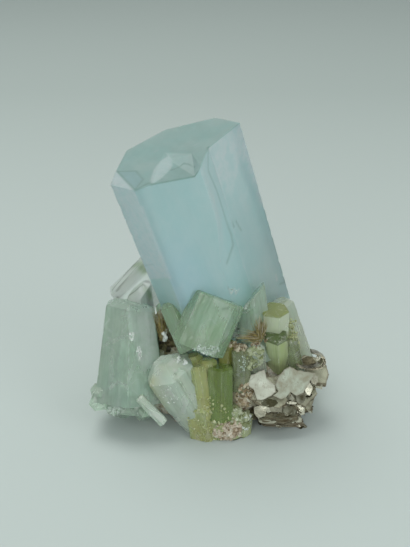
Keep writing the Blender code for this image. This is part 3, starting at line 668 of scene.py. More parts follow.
# Lines on the big prism, in its own axes: mark, width,
# strength and points. Points without a height lie on the top.
prismLines = (
    # The groove's dark line: partly a dark joint between two crystals grown side by side, partly painted
    # shade in the crease.
    ("dark", 0.34, 0.55, ((5.7, -2.3, 0.0), (4.3, -5.4, -3.0), (4.65, -4.5, -8.0), (4.65, -4.5, -19.3),
                          (4.4, -5.0, -21.3), (3.2, -6.1, -22.5), (2.0, -6.9, -23.8))),
    ("frost", 0.80, 0.35, ((3.4, -7.4, -1.5), (3.3, -7.6, -19.0))),
    ("dark", 0.16, 0.7, ((6.5, -2.6, -17.7), (6.7, -2.7, -19.0), (7.0, -2.7, -20.3))),
    ("dark", 0.16, 0.6, ((5.7, -3.1, -17.3), (5.8, -3.3, -18.5))),
    ("frost", 0.18, 0.9, ((0.7, -7.5, -29.8), (0.8, -7.5, -31.0), (1.6, -7.1, -30.6), (1.7, -7.1, -32.1),
                          (2.6, -6.5, -31.5))),
    ("frost", 0.30, 0.9, ((11.6, 1.2, -37.3), (11.5, 1.1, -38.6))),
    ("dark", 0.22, 0.7, ((11.9, 1.5, -40.3), (13.3, 3.0, -41.4))),
    ("dark", 0.30, 0.55, ((13.4, 3.1, -22.0), (13.4, 3.1, -41.0))),
    ("frost", 0.26, 0.7, ((-14.2, -2.5, -1.0), (-14.2, -2.5, -10.0))),
    # A painted highlight along the left front edge.
    ("frost", 0.40, 1.0, ((-10.0, -8.4, -4.0), (-10.0, -8.4, -21.4))),
    ("frost", 0.30, 0.6, ((-13.9, -2.9, -23.9), (-10.2, -8.2, -21.3))),
    ("dark", 0.20, 0.25, ((-13.9, -2.9, -20.4), (-12.2, -5.3, -19.2))),
    ("frost", 0.90, 0.7, ((13.2, 3.2, -1.0), (13.2, 3.2, -19.0))),
    # Outline of the corner facet: painted shade, like the facet's own tint and darkness.
    ("dark", 0.20, 0.6, ((-12.4, 1.0), (-9.95, -8.35))),
    ("dark", 0.20, 0.45, ((-12.3, 0.8), (-8.8, -1.5), (-7.9, -5.6), (-9.9, -8.2))),
    ("dark", 0.30, 0.6, ((-9.6, -8.3), (-7.2, -7.6), (-6.6, -8.3))),
    ("dark", 0.20, 0.8, ((-6.6, -8.35), (-3.8, -8.33), (-1.0, -8.3), (1.2, -8.28), (2.0, -8.28))),
    ("dark", 0.16, 0.6, ((-2.4, -4.6), (-1.2, -4.2), (0.2, -3.7), (1.0, -4.4), (2.0, -6.4))),
    ("dark", 0.18, 0.9, ((0.2, -3.7), (0.35, -3.75))),
    ("frost", 0.16, 0.5, ((-6.7, -8.5), (-6.6, -6.8), (-5.4, -3.2), (-3.8, -1.1), (-2.0, 0.5))),
    ("frost", 0.24, 0.7, ((-4.2, 3.4), (-3.6, 3.6))),
    ("frost", 0.24, 0.7, ((3.4, 0.4), (4.2, 0.6))),
)


# Height of the prism's top over its own level: the lowest of the flat cap, the slanting corner and the
# hollow, whose own depth is the least fall of its four faces.
def prismTop(x, y):
    facing, reach, steepness = prism["bevel"]
    start = (reach * math.cos(math.radians(facing)), reach * math.sin(math.radians(facing)))
    hollow = np.min([fallen(x, y, *face) for face in prism["hollow"]], axis=0)
    return -np.maximum(0, np.maximum(fallen(x, y, start, facing, steepness), hollow))


# How surely each point lies inside a shape whose corners run against the
# clock: its least distance from the sides, drawn out to a soft edge.
def insideShape(x, y, corners):
    corners = np.array(corners)
    least = np.full(x.shape, np.inf)
    for start, end in zip(corners, np.roll(corners, -1, 0)):
        across, along = (end - start) / np.linalg.norm(end - start)
        least = np.minimum(least, across * (y - start[1]) - along * (x - start[0]))
    return ramp(least, -0.15, 0.25)


# The section below the notch: from a place on the front to the right corner
# it follows a curve bent towards the front's own right corner, (1-t)^2 start
# + 2t(1-t) corner + t^2 end, with t the share of the way along the outline.
def roundedFront(section, side, part):
    here = section[side] * (1 - part[:, None]) + np.roll(section, -1, 0)[side] * part[:, None]
    start, corner, end = np.array([prism["roundFrom"], section[0, 1]]), section[1], section[3]
    bent = (side < 3) & (here[:, 0] > start[0])
    way = np.cumsum(np.linalg.norm(np.diff(here[bent], axis=0, prepend=[start]), axis=1))
    t = (way / (way[-1] + np.linalg.norm(end - here[bent][-1])))[:, None]
    here[bent] = (1 - t) ** 2 * start + 2 * t * (1 - t) * corner + t ** 2 * end
    return here


# The big prism's skin: waves by size, draw-out along z
# and strength, and the depths of its wear and its groove.
prismSkin = {
    "lines": ((2.6, 0.02, 0.0072), (0.8, 0.02, 0.0036)),
    "terraces": (9.0, 0.2),
    "terraceSteps": 1.5,
    "terraceDepth": 0.008,
    "sway": ((6.0, 1, 0.01),),
    "brokenWaves": ((1.4, 1, 0.03), (0.6, 1, 0.02)),
    "patches": ((4.5, 0.5, 1), (1.6, 0.6, 0.6)),
    "wornStrip": 0.2,
    "wornLeast": 0.4,
    "wornWaves": 2.0,
    "wornFades": (0.1, 0.9),
    "wornDepth": 0.14,
    "grooveWidth": 0.3,
    "grooveDepth": 0.12,
}
# Its marks: frost of the right, left and notch sides, of patches and of the top's broken places, part of it
# painted light: a painted reflection on the left side, painted light on the slanting corner and the crescent,
# and wear with painted highlight on the worn edges; then shade, a painted tint on the corner facet; then how
# dark the top is, painted shade of the whole top, the corner facet and the hollow's floor. Heights are in its
# own axes. The left side's frost ends along a line through a point at a slope.
prismTones = {
    "right": (0.08, 0.85),
    "rightFades": (-18, -5),
    "left": (0.22, 0.78),
    "leftEnds": (-13.9, -23.9, 0.7),
    "notch": 0.35,
    "notchFades": (-24, -6),
    "patches": 0.12,
    "corner": 0.8,
    "crescent": 0.55,
    "hollowBack": 0.5,
    "worn": 0.4,
    "shade": (0.40, 0.60),
    "facetPaintedTint": 0.8,
    "topPaintedShade": 0.42,
    "patchDark": 0.10,
    "hollowFloorPaintedShade": 0.14,
    "facetPaintedShade": 0.08,
    "crescentClears": 0.7,
}
notchSide, rightSide, leftSide = 1, 2, 7  # places in the section


# Rows of the big prism's skin: the notch closes downwards, and the top takes its own heights.
def prismRows():
    section = np.array(prism["section"])
    length = prism["length"]
    top = np.hstack([section, np.zeros((len(section), 1))])
    hub = np.array([*prism["hub"], 0])
    rings = [np.zeros_like(top) - [0, 0, length], top - [0, 0, length], top,
             hub + (top - hub) * prism["edge"], hub + 0 * top]
    widths = np.linalg.norm(np.roll(section, -1, 0) - section, axis=-1)
    counts = np.maximum(6, np.round(widths / prism["cell"])).astype(int)
    side, part = columnsOf(widths, counts, 2 * edgeStrip)
    steps = [6, round(length / prism["cell"]), 2, prism["topRows"]]
    grid, kinds, fromCorner = ringRows(rings, steps, counts, side, part)
    sides, upper = kinds == 1, kinds > 1
    closing = ((1 - ramp(grid[..., 2], *prism["notchEnds"])) * sides[:, None])[..., None]
    grid[..., :2] = grid[..., :2] * (1 - closing) + roundedFront(section, side, part) * closing
    edge = prismTop(*grid[kinds == 2][0][:, :2].T)
    climb = (grid[sides][..., 2] + length) / length
    grid[sides, :, 2] = -length + climb * (length + edge)
    grid[upper, :, 2] = prismTop(grid[upper][..., 0], grid[upper][..., 1])
    grid[kinds == 2, :, 2] -= prism["edgeDrop"] * (1 - (np.arange(2)[:, None] / 2))
    return grid, kinds, side, fromCorner


# Where the big prism is frosty, shaded and dark, by face, height and place in the broken hollow; much of the
# frost is painted light and the top's darkness is painted shade.
def prismMarks(points, sideOf, isSide, worn):
    tone = prismTones
    x, y, z = points.T
    patchy = ramp(layered(points, prismSkin["patches"], 36), -0.6, 0.6)
    endX, endZ, slope = tone["leftEnds"]
    leftEnd = ramp(z - (endZ + slope * (x - endX)), -0.2, 0.2)
    least, more = tone["right"]
    right = least + more * ramp(z, *tone["rightFades"]) * (0.45 + 0.55 * patchy)
    # The left side's frost is a painted reflection of the bright surroundings.
    least, more = tone["left"]
    left = least + more * leftEnd
    notch = tone["notch"] * ramp(z, *tone["notchFades"])
    faces = (sideOf == rightSide) * right + (sideOf == leftSide) * left + (sideOf == notchSide) * notch
    # The frost of the slanting corner and the crescent is painted light; the corner facet gets a painted
    # tint.
    facing, reach, _ = prism["bevel"]
    facing = math.radians(facing)
    corner = ramp(x * math.cos(facing) + y * math.sin(facing), reach - 0.1, reach + 0.1)
    crescent = insideShape(x, y, prism["crescent"])
    facet = insideShape(x, y, prism["cornerFacet"])
    falls = np.stack([fallen(x, y, *face) for face in prism["hollow"]])
    inHollow = ramp(falls.min(0), 0.0, 0.15)
    back = inHollow * (falls.argmin(0) > 1) * (0.5 + 0.5 * patchy) * (1 - crescent)
    top = tone["corner"] * corner + tone["crescent"] * crescent + tone["hollowBack"] * back
    frost = isSide * (faces + tone["patches"] * patchy) + ~isSide * top
    # Frost on the worn edges: wear and painted highlight at once.
    frost[:worn.size] += tone["worn"] * worn.ravel()
    least, more = tone["shade"]
    shade = isSide * (least + more * ramp(-x, -2, 8) * ramp(-z, 8, 26)) + ~isSide * facet * tone["facetPaintedTint"]
    shade *= 1 - (sideOf == leftSide) * (1 - leftEnd)
    # The top's darkness is painted shade, deepest on the hollow's floor and the corner facet, cleared on the
    # crescent and the slanting corner.
    dark = tone["topPaintedShade"] + tone["patchDark"] * patchy + tone["facetPaintedShade"] * facet
    dark = dark + tone["hollowFloorPaintedShade"] * inHollow * (falls.argmin(0) == 1)
    dark = ~isSide * dark * (1 - tone["crescentClears"] * crescent) * (1 - corner)
    drawn = []
    for *stroke, line in prismLines:
        drawn.append((*stroke, [place if len(place) == 3 else (*place, prismTop(*place)) for place in line]))
    return withLines({"frost": frost, "shade": shade, "lined": isSide * 1.0, "dark": dark}, points, drawn)


def bigPrism():
    grid, kinds, side, fromCorner = prismRows()
    skin = prismSkin
    sides = (kinds == 1)[:, None]
    size, upright = skin["terraces"]
    terraces = skin["terraceDepth"] * stepped(waves(grid, size, 33, upright), skin["terraceSteps"])
    worn = wornEdges(grid, fromCorner, skin, 34)
    groove = skin["grooveDepth"] * nearLine(grid, prismLines[0][3], skin["grooveWidth"])
    shift = sides * (layered(grid, skin["lines"], 31) + terraces - skin["wornDepth"] * worn - groove)
    broken = (kinds > 1)[:, None] * ramp(-grid[..., 2], 0.02, 0.2)
    shift = shift + layered(grid, skin["sway"], 35) + broken * layered(grid, skin["brokenWaves"], 38)
    moved = (grid + skinNormals(grid) * shift[..., None]).reshape(-1, 3)
    points = np.concatenate([moved, [[0, 0, -prism["length"]]], [[*prism["hub"], 0]]])
    sideOf = np.append(np.broadcast_to(side, grid.shape[:2]), [0, 0])
    isSide = np.append(np.broadcast_to(sides, grid.shape[:2]), [False, False])
    marks = prismMarks(points, sideOf, isSide, worn * sides)
    turned = leaning(prism["lean"], prism["turn"])
    finish = crystalFinish("bigPrism", looks["blue"], turned)
    return makePiece("bigPrism", points @ turned.T + prism["top"], skinFaces(*grid.shape[:2]), finish,
                     marks)


report("big prism", [bigPrism()])


# Feldspar

def rockFinish():
    material, tree = newMaterial("grainyFeldspar")
    place = objectPlace(tree)
    big = noise(tree, place, 240, 5)
    grain = node(tree, "ShaderNodeTexVoronoi", {"Scale": 900, "Randomness": 1}, {"Vector": place})
    fine = noise(tree, place, 3200, 4)
    pick = node(tree, "ShaderNodeSeparateColor", None, {"Color": grain.outputs["Color"]}).outputs[0]
    body = mixed(tree, stretched(tree, big, 0.40, 0.62), (0.55, 0.43, 0.33), (0.70, 0.66, 0.55))
    body = mixed(tree, stretched(tree, pick, 0.55, 0.75), body, (0.82, 0.78, 0.70))
    body = mixed(tree, stretched(tree, pick, 0.16, 0.04), body, (0.20, 0.14, 0.08))
    body = mixed(tree, stretched(tree, fine, 0.45, 0.75), body, (0.46, 0.44, 0.24))
    rough = stretched(tree, pick, 0.0, 1.0, (0.35, 0.85))
    height = plus(tree, times(tree, grain.outputs["Distance"], 0.8), fine)
    return finished(material, tree, body, rough, height, (0.7, 0.0003))


# Each lump: middle and half sizes.
matrixLumps = (
    ((3.0, 3.6, 3.0), (15.5, 13.0, 10.5)),
    ((-7.4, 3.4, 13.5), (6.4, 6.0, 9.0)),
    ((10.4, 2.4, 11.5), (8.6, 7.0, 8.0)),
    ((4.6, -9.4, 2.0), (5.4, 5.0, 3.8)),
    ((8.4, -8.2, 8.6), (3.4, 3.4, 4.4)),
    ((-8.0, -3.6, 7.6), (6.0, 5.4, 6.0)),
    ((14.0, -2.5, 8.6), (6.4, 5.0, 6.4)),
)
lump = {
    "rowsPerMillimetre": 14,
    "seeds": (50, 10),
    "ledges": 5.0,
    "ledgeSteps": 3,
    "ledgeDepth": 0.07,
    "waves": ((2.2, 1, 0.05), (0.9, 1, 0.025)),
}


# A rough ball: radius one on a grid of heights and bearings, stretched to its half sizes, swollen by waves of
# three sizes, with the widest ones rounded to steps so that it breaks into ledges.
def rockLump(name, middle, halves, rows, seed, finish):
    tilt = np.linspace(-np.pi / 2, np.pi / 2, rows + 2)[1:-1][:, None]
    bearing = np.linspace(0, 2 * np.pi, 2 * rows, endpoint=False)[None, :]
    ball = ballRings(tilt, bearing)
    points = np.concatenate([ball.reshape(-1, 3), ballEnds]) * halves
    ledges = stepped(waves(points, lump["ledges"], seed), lump["ledgeSteps"])
    swell = 1 + lump["ledgeDepth"] * ledges + layered(points, lump["waves"], seed + 1)
    world = points * swell[:, None] + middle
    return makePiece(name, world, skinFaces(*ball.shape[:2]), finish, None, "feldspar_matrix")


rock = rockFinish()
lumps = []
for number, (middle, halves) in enumerate(matrixLumps):
    rows = int(lump["rowsPerMillimetre"] * max(halves))
    firstSeed, seedStep = lump["seeds"]
    seed = firstSeed + seedStep * number
    lumps.append(rockLump(f"feldspar{number + 1}", middle, halves, rows, seed, rock))
report("feldspar", lumps)


# Mica

def micaFinish(name, light, dark, metallic, rough):
    material, tree = newMaterial(name)
    place = objectPlace(tree)
    cloud = noise(tree, place, 420, 5)
    fine = noise(tree, place, 2600, 3)
    crack = crackLines(tree, place, 380, 3, 1.5)
    factor = plus(tree, times(tree, meshMark(tree, "tone"), 0.6),
                  stretched(tree, cloud, 0.40, 0.66, (0, 0.5)))
    body = mixed(tree, factor, light, dark)
    body = mixed(tree, stretched(tree, crack, 0.0, 0.014, (0.55, 0)), body, (0.20, 0.16, 0.10))
    body = mixed(tree, times(tree, meshMark(tree, "edge"), 0.55), body, (0.16, 0.11, 0.07))
    height = plus(tree, times(tree, fine, 0.5), cloud)
    values = {"Metallic": metallic, "IOR": 1.6}
    return finished(material, tree, body, stretched(tree, cloud, 0.35, 0.65, rough), height, (0.35, 0.0002),
                    values)


# The two broad plates that face the viewer: middle, lean, outline against the clock, seed and finish.
micaPlates = (
    ((11.9, -11.4, 11.6), (-14, -64),
     ((1.0, 3.9), (-2.0, 2.8), (-2.9, 0.9), (-1.6, -0.2), (-1.0, -2.4), (0.1, -2.5), (2.1, -1.7), (3.0, -0.9),
      (3.0, 0.4), (1.3, 2.0)), 3, "plateLeft"),
    ((18.8, -11.2, 11.8), (8, -62),
     ((-1.1, 4.2), (-2.3, 3.5), (-3.4, 2.1), (-4.0, 0.3), (-3.4, -1.2), (-4.6, -2.1), (-2.6, -2.7),
      (-1.7, -2.3), (-0.8, -1.1), (0.5, -1.9), (2.0, -1.2), (3.4, 1.3), (4.5, 3.0), (0.6, 3.5)),
     8, "plateRight"),
)
# Each book: middle, lean, half sizes, thick sheets, thickness of one, seed and finish.
micaBooks = (
    ((14.6, -10.2, 9.0), (0, -45), (4.4, 3.8), 4, 0.80, 17, "book"),
    ((15.4, -9.8, 5.4), (2, -14), (5.8, 4.2), 4, 0.90, 5, "book"),
    ((16.4, -6.4, 2.2), (4, 8), (5.8, 3.8), 4, 1.10, 11, "tan"),
    ((19.9, -6.8, 7.8), (30, -30), (4.6, 5.0), 5, 0.80, 14, "book"),
    ((23.0, -5.0, 11.2), (20, -24), (4.0, 4.2), 4, 0.60, 21, "book"),
)
micaSheet = {
    "sway": 0.25,
    "reach": (0.80, 1.12),
    "whole": (0.86, 1.06),
    "shift": 0.5,
    "seedStep": 31,
    "leaves": 4,
    "perSide": 5,
    "rings": (0.35, 0.7, 0.92, 1.0),
    "ragged": 0.03,
    "raggedScale": 2.2,
    "bends": (6.0, 2.4),
    "plateHeights": (0.45, 0.0, -0.45),
    "plateSheet": 0.45,
    "plateShrink": 0.05,
    "plateBend": 0.09,
    "bookShrink": 0.10,
    "bookSlide": 0.12,
    "bookLift": 0.02,
    "bookBend": 0.22,
    "gap": 0.8,
}


# Outline of a sheet as corners about an oval, filled in along straight sides.
def sheetOutline(halves, seed, reach, perSide, count=9):
    pick = random.Random(seed)
    corners = []
    for corner in range(count):
        angle = math.tau * (corner + pick.uniform(-micaSheet["sway"], micaSheet["sway"])) / count
        far = pick.uniform(*micaSheet["reach"]) * reach
        corners.append((math.cos(angle) * halves[0] * far, math.sin(angle) * halves[1] * far))
    return filledSides(np.array(corners), perSide)


# An outline's corners with points put along the straight sides between them.
def filledSides(corners, perSide):
    part = np.arange(perSide)[None, :, None] / perSide
    return (corners[:, None] * (1 - part) + np.roll(corners, -1, 0)[:, None] * part).reshape(-1, 2)


# A leaf of mica: rings shrink from the outline to the
# middle above and below, and gentle waves bend both alike.
def micaLeaf(outline, thickness, seed, bend):
    shares = micaSheet["rings"]
    under = np.concatenate([shares, shares[::-1]])
    heights = np.repeat([-0.5, 0.5], len(shares)) * thickness
    flat = outline[None] * under[:, None, None]
    around = np.concatenate([flat * micaSheet["raggedScale"], flat[..., :1] * 0], -1)
    ragged = waves(around, 1.0, seed) * (under == 1)[:, None]
    flat = flat * (1 + micaSheet["ragged"] * ragged)[..., None]
    grid = np.concatenate([flat, np.broadcast_to(heights[:, None, None], (*flat.shape[:2], 1))], -1)
    points = np.concatenate([grid.reshape(-1, 3), [[0, 0, -0.5 * thickness], [0, 0, 0.5 * thickness]]])
    far = np.hypot(points[:, 0], points[:, 1])
    wide, narrow = [waves(points, size, seed + 1 + number, 0)
                    for number, size in enumerate(micaSheet["bends"])]
    points[:, 2] += bend * (0.7 * wide + 0.25 * narrow * ramp(far, 1, 4))
    edge = np.append(np.broadcast_to(ramp(under, 0.9, 1.0)[:, None], flat.shape[:2]), [0, 0])
    return points, skinFaces(*grid.shape[:2]), edge


# Joins several skins into one: their points, their quads and fans, and their marks.
def joined(parts):
    points, faces, *marks = zip(*parts)
    starts = np.cumsum([0] + [len(some) for some in points[:-1]])
    faces = [np.concatenate([some + start for some, start in zip(kind, starts)]) for kind in zip(*faces)]
    return np.concatenate(points), faces, *[np.concatenate(values) for values in marks]


# One piece of mica from its leaves, each given by points, faces, edge mark and tone.
def micaPiece(name, leaves, finish, lean=(0, 0), middle=(0, 0, 0), edged=1.0):
    points, faces, edge, tone = joined(leaves)
    world = points @ leaning(lean).T + middle
    marks = {"edge": edged * edge, "tone": tone}
    return makePiece(name, world, faces, micaFinishes[finish], marks, "mica_books")


# A book: thick sheets of their own outlines, each split into thin leaves that have slid a little.
def micaBook(name, middle, lean, halves, sheets, thickness, seed, finish):
    draw = np.random.default_rng(seed)
    count = micaSheet["leaves"]
    leaves = []
    for sheet in range(sheets):
        pick = random.Random(seed * micaSheet["seedStep"] + sheet)
        reach = pick.uniform(*micaSheet["whole"])
        outline = sheetOutline(halves, seed + sheet, reach, micaSheet["perSide"])
        shift = np.array([pick.uniform(-micaSheet["shift"], micaSheet["shift"]) for _ in range(2)])
        for leaf in range(count):
            smaller = 1 - micaSheet["bookShrink"] * draw.random()
            slide = shift + draw.normal(size=2) * micaSheet["bookSlide"]
            thin = thickness / count * micaSheet["gap"]
            points, faces, edge = micaLeaf(outline * smaller, thin, seed + sheet * 7, micaSheet["bookBend"])
            height = (sheet - sheets / 2 + (leaf + 0.5) / count) * thickness
            points += [*slide, height + draw.normal() * micaSheet["bookLift"]]
            leaves.append((points, faces, edge, np.full(len(points), draw.random())))
    return micaPiece(name, leaves, finish, lean, middle)


# A plate: sheets of one drawn outline, each smaller than the one in front of it and split into thin leaves.
def micaPlate(name, middle, lean, outline, seed, finish):
    draw = np.random.default_rng(seed)
    count = micaSheet["leaves"]
    thick = micaSheet["plateSheet"]
    leaves = []
    for sheet, level in enumerate(micaSheet["plateHeights"]):
        for leaf in range(count):
            smaller = 1 - micaSheet["plateShrink"] * (sheet + leaf / count * draw.random())
            around = filledSides(np.array(outline), micaSheet["perSide"]) * smaller
            thin = thick / count * micaSheet["gap"]
            points, faces, edge = micaLeaf(around, thin, seed + sheet, micaSheet["plateBend"])
            points[:, 2] += level + thick * (0.5 - (leaf + 0.5) / count)
            worn = layered(points, ((3.0, 0, 1), (1.0, 0, 0.5)), seed + 9)
            brown = ramp(points[:, 0] - points[:, 1], 1.5, 5.0) * (finish == "plateRight")
            tone = 0.3 * draw.random() + 0.25 * (sheet > 0) + 0.7 * ramp(worn, 0.0, 1.0) + 0.9 * brown
            leaves.append((points, faces, edge, tone))
    return micaPiece(name, leaves, finish, lean, middle)


# Each: its material's name, light and dark tones, how metallic it is, least and most roughness.
micaLooks = {
    "plateLeft": ("paleMica", (0.54, 0.57, 0.47), (0.34, 0.32, 0.24), 0.10, (0.26, 0.44)),
    "plateRight": ("greyMica", (0.48, 0.54, 0.44), (0.27, 0.25, 0.17), 0.10, (0.26, 0.44)),
    "book": ("silveryMica", (0.60, 0.60, 0.44), (0.09, 0.08, 0.035), 0.45, (0.16, 0.40)),
    "tan": ("tanMica", (0.52, 0.50, 0.37), (0.20, 0.17, 0.09), 0.25, (0.25, 0.50)),
    "flake": ("glintingMica", (0.64, 0.63, 0.50), (0.07, 0.06, 0.025), 0.60, (0.12, 0.34)),
    # The curl's dark tone is the painted shade of its hollow.
    "curl": ("bronzeMica", (0.50, 0.46, 0.34), (0.05, 0.045, 0.025), 0.55, (0.14, 0.34)),
}
micaFinishes = {kind: micaFinish(*look) for kind, look in micaLooks.items()}
books = []
for number, plate in enumerate(micaPlates):
    books.append(micaPlate(f"mica{number + 1}", *plate))
for number, (*shape, finishName) in enumerate(micaBooks):
    books.append(micaBook(f"mica{number + 1 + len(micaPlates)}", *shape, finishName))


# The curled sheet: leaves bent round part of an oval, one
# inside the other, each a flat band carried along the bend.
curl = {
    "middle": (22.4, -5.8, 15.3),
    "radii": (3.4, 1.9),
    "arc": (-160, 80),
    "gap": 0.7,
    "narrower": 0.06,
    "swayDepth": 0.12,
    "waveDepth": 0.10,
    "width": 5.0,
    "wall": 0.5,
    "lean": (0, -70),
    "leaves": 3,
    "ragged": 0.35,
    "edged": 0.15,
    "steps": 44,
    "across": 12,
}


def curledMica():
    angle = np.radians(np.linspace(*curl["arc"], curl["steps"]))[:, None]
    thin = curl["wall"] / curl["leaves"] * curl["gap"]
    leaves = []
    for leaf in range(curl["leaves"]):
        inward = curl["wall"] * leaf / curl["leaves"]
        side = np.linspace(-0.5, 0.5, curl["across"]) * curl["width"] * (1 - curl["narrower"] * leaf)
        across = np.concatenate([side, side[::-1]])[None, :]
        inner = np.repeat([0, thin], curl["across"])[None, :] + inward
        spread = np.stack([3 * angle + 0 * across, across + 0 * angle, 0 * across * angle], -1)
        sway = curl["swayDepth"] * np.sin(across * 1.3 + angle * 2 + leaf)
        wave = sway + curl["waveDepth"] * waves(spread, 1.6, 80)
        grid = np.stack([np.cos(angle) * (curl["radii"][0] - inner + wave),
                         np.sin(angle) * (curl["radii"][1] - inner + wave), across + 0 * angle], -1)
        ragged = waves(np.concatenate([np.cos(angle), np.sin(angle), 0 * angle], -1) * 3, 1.2, 70 + leaf)
        rim = ramp(np.abs(across), 1.6, 2.5)
        grid[..., 2] += curl["ragged"] * ragged[:, None] * np.sign(across) * rim
        points = np.concatenate([grid.reshape(-1, 3), [grid[0].mean(0)], [grid[-1].mean(0)]])
        edge = np.append(np.broadcast_to(ramp(np.abs(across), 2.2, 2.5), grid.shape[:2]), [0, 0])
        # The tone is painted light: dark in the hollow, where shade falls, lighter on the right inner wall
        # and at the rims, painted highlights.
        tone = 1.0 - 0.9 * ramp(np.cos(angle), 0.2, 0.9) - 0.6 * ramp(np.abs(across), 1.9, 2.4)
        leaves.append((points, skinFaces(*grid.shape[:2]), edge, np.append(tone, [1, 0])))
    return micaPiece("curledMica", leaves, "curl", curl["lean"], curl["middle"], curl["edged"])


books.append(curledMica())


# Loose flakes of mica that stand off the lower books at all angles, each on a point of a book's own skin.
flakes = {
    "on": ("mica3", "mica4", "mica5", "mica6", "mica7"),
    "count": 300,
    "seeds": (300, 700),
    "corners": 5,
    "drawnCorners": 7,
    "halves": (0.5, 1.4),
    "sway": 34,
    "perSide": 2,
    "thickness": 0.06,
    "bend": 0.22,
    "front": -8.0,
    "tilt": (8, -40),
    "steepest": 75,
    "offset": (0.5, -0.2, 0.0),
    "inward": (0.97, 0.97, 1),
}
# Bigger flakes at the front of the books: place, lean, half sizes and tone from silvery to dark.
drawnFlakes = (
    ((11.7, -13.3, 6.8), (-12, -66), (1.5, 1.5), 0.35),
    # A dark flake put in the cavity at the front: painted shade.
    ((13.6, -13.4, 9.0), (6, -80), (1.9, 1.1), 1.5),
    ((15.0, -13.2, 7.6), (20, -60), (1.4, 1.0), 0.5),
    ((17.9, -12.8, 6.9), (10, -70), (1.6, 1.1), 0.9),
    # A light flake on the book's front: a painted glint.
    ((18.4, -12.5, 8.5), (0, -50), (1.2, 0.35), -0.3),
    ((20.6, -10.6, 8.6), (24, -66), (1.3, 1.4), 0.8),
    ((22.2, -9.6, 10.2), (30, -60), (0.9, 1.5), -0.2),
    ((23.6, -8.2, 11.6), (40, -56), (0.9, 1.2), 0.1),
    # A dark flake in the curl's hollow, painted shade, and a light one on its inner wall, a painted
    # highlight.
    ((22.4, -4.3, 13.7), (0, -62), (1.9, 1.3), 1.7),
    ((24.9, -3.9, 14.1), (-34, -50), (0.5, 1.0), -0.4),
    ((20.0, -11.4, 6.4), (-20, -64), (1.2, 0.8), 0.1),
    ((13.2, -14.0, 4.8), (-6, -74), (2.2, 0.5), 0.3),
    ((16.8, -13.2, 5.0), (6, -76), (1.9, 0.5), 0.4),
)


def looseFlakes():
    draw = np.random.default_rng(91)
    skin = np.concatenate([skins[name] for name in flakes["on"]])
    skin = skin[skin[:, 1] < flakes["front"]]
    places = skin[draw.integers(0, len(skin), flakes["count"])] * flakes["inward"] + flakes["offset"]
    leaves = []
    for number, place in enumerate(places):
        seed = flakes["seeds"][0] + number
        halves = draw.uniform(*flakes["halves"], 2)
        outline = sheetOutline(halves, seed, 1.0, flakes["perSide"], flakes["corners"])
        points, faces, edge = micaLeaf(outline, flakes["thickness"], seed, flakes["bend"])
        lean = draw.normal(size=2) * flakes["sway"] + flakes["tilt"]
        lean = np.clip(lean, -flakes["steepest"], flakes["steepest"])
        points = points @ leaning(lean, draw.uniform(0, 360)).T + place
        leaves.append((points, faces, edge, np.full(len(points), draw.beta(0.5, 0.5) * 1.5 - 0.2)))
    for number, (place, lean, halves, tone) in enumerate(drawnFlakes):
        seed = flakes["seeds"][1] + number
        outline = sheetOutline(halves, seed, 1.0, micaSheet["perSide"], flakes["drawnCorners"])
        points, faces, edge = micaLeaf(outline, 2 * flakes["thickness"], seed, flakes["bend"])
        leaves.append((points @ leaning(lean).T + place, faces, edge, np.full(len(points), tone)))
    return micaPiece("micaFlakes", leaves, "flake", edged=0.0)


books.append(looseFlakes())
report("mica", books)


# Brown blades

def bladeFinish():
    material, tree = newMaterial("brownBlades")
    cloud = noise(tree, objectPlace(tree), 1500, 3)
    tip = stretched(tree, meshMark(tree, "along"), 0.60, 1.0, (0, 0.45))
    body = mixed(tree, stretched(tree, cloud, 0.35, 0.65), (0.13, 0.10, 0.03), (0.37, 0.30, 0.11))
    body = mixed(tree, tip, body, (0.58, 0.52, 0.28))
    body = mixed(tree, meshMark(tree, "pale"), body, (0.52, 0.47, 0.36))
    return finished(material, tree, body, 0.45, cloud, (0.5, 0.0001))


tufts = {
    "bladesTop": {
        "node": "brown_blades_top",
        "root": (11.6, -10.2, 23.1),
        "tips": ((10.2, -10.6, 27.4), (10.8, -10.7, 28.2), (11.5, -10.6, 28.6), (12.2, -10.4, 28.3),
                 (12.9, -10.2, 27.3), (6.1, -11.0, 24.3), (6.6, -11.2, 23.5), (7.6, -10.9, 25.2)),
    },
    "bladesLeft": {
        "node": "brown_blades_left",
        "root": (-9.0, -5.4, 20.4),
        "tips": ((-10.9, -4.6, 27.4), (-10.0, -4.4, 28.0), (-9.2, -4.6, 26.8), (-8.4, -5.2, 25.4)),
    },
}
blade = {
    "each": 22,
    "wide": 0.18,
    "thick": 0.09,
    "rows": 9,
    "shortest": 0.55,
    "spread": 0.35,
    "bend": 0.25,
    "paleShare": 0.16,
}


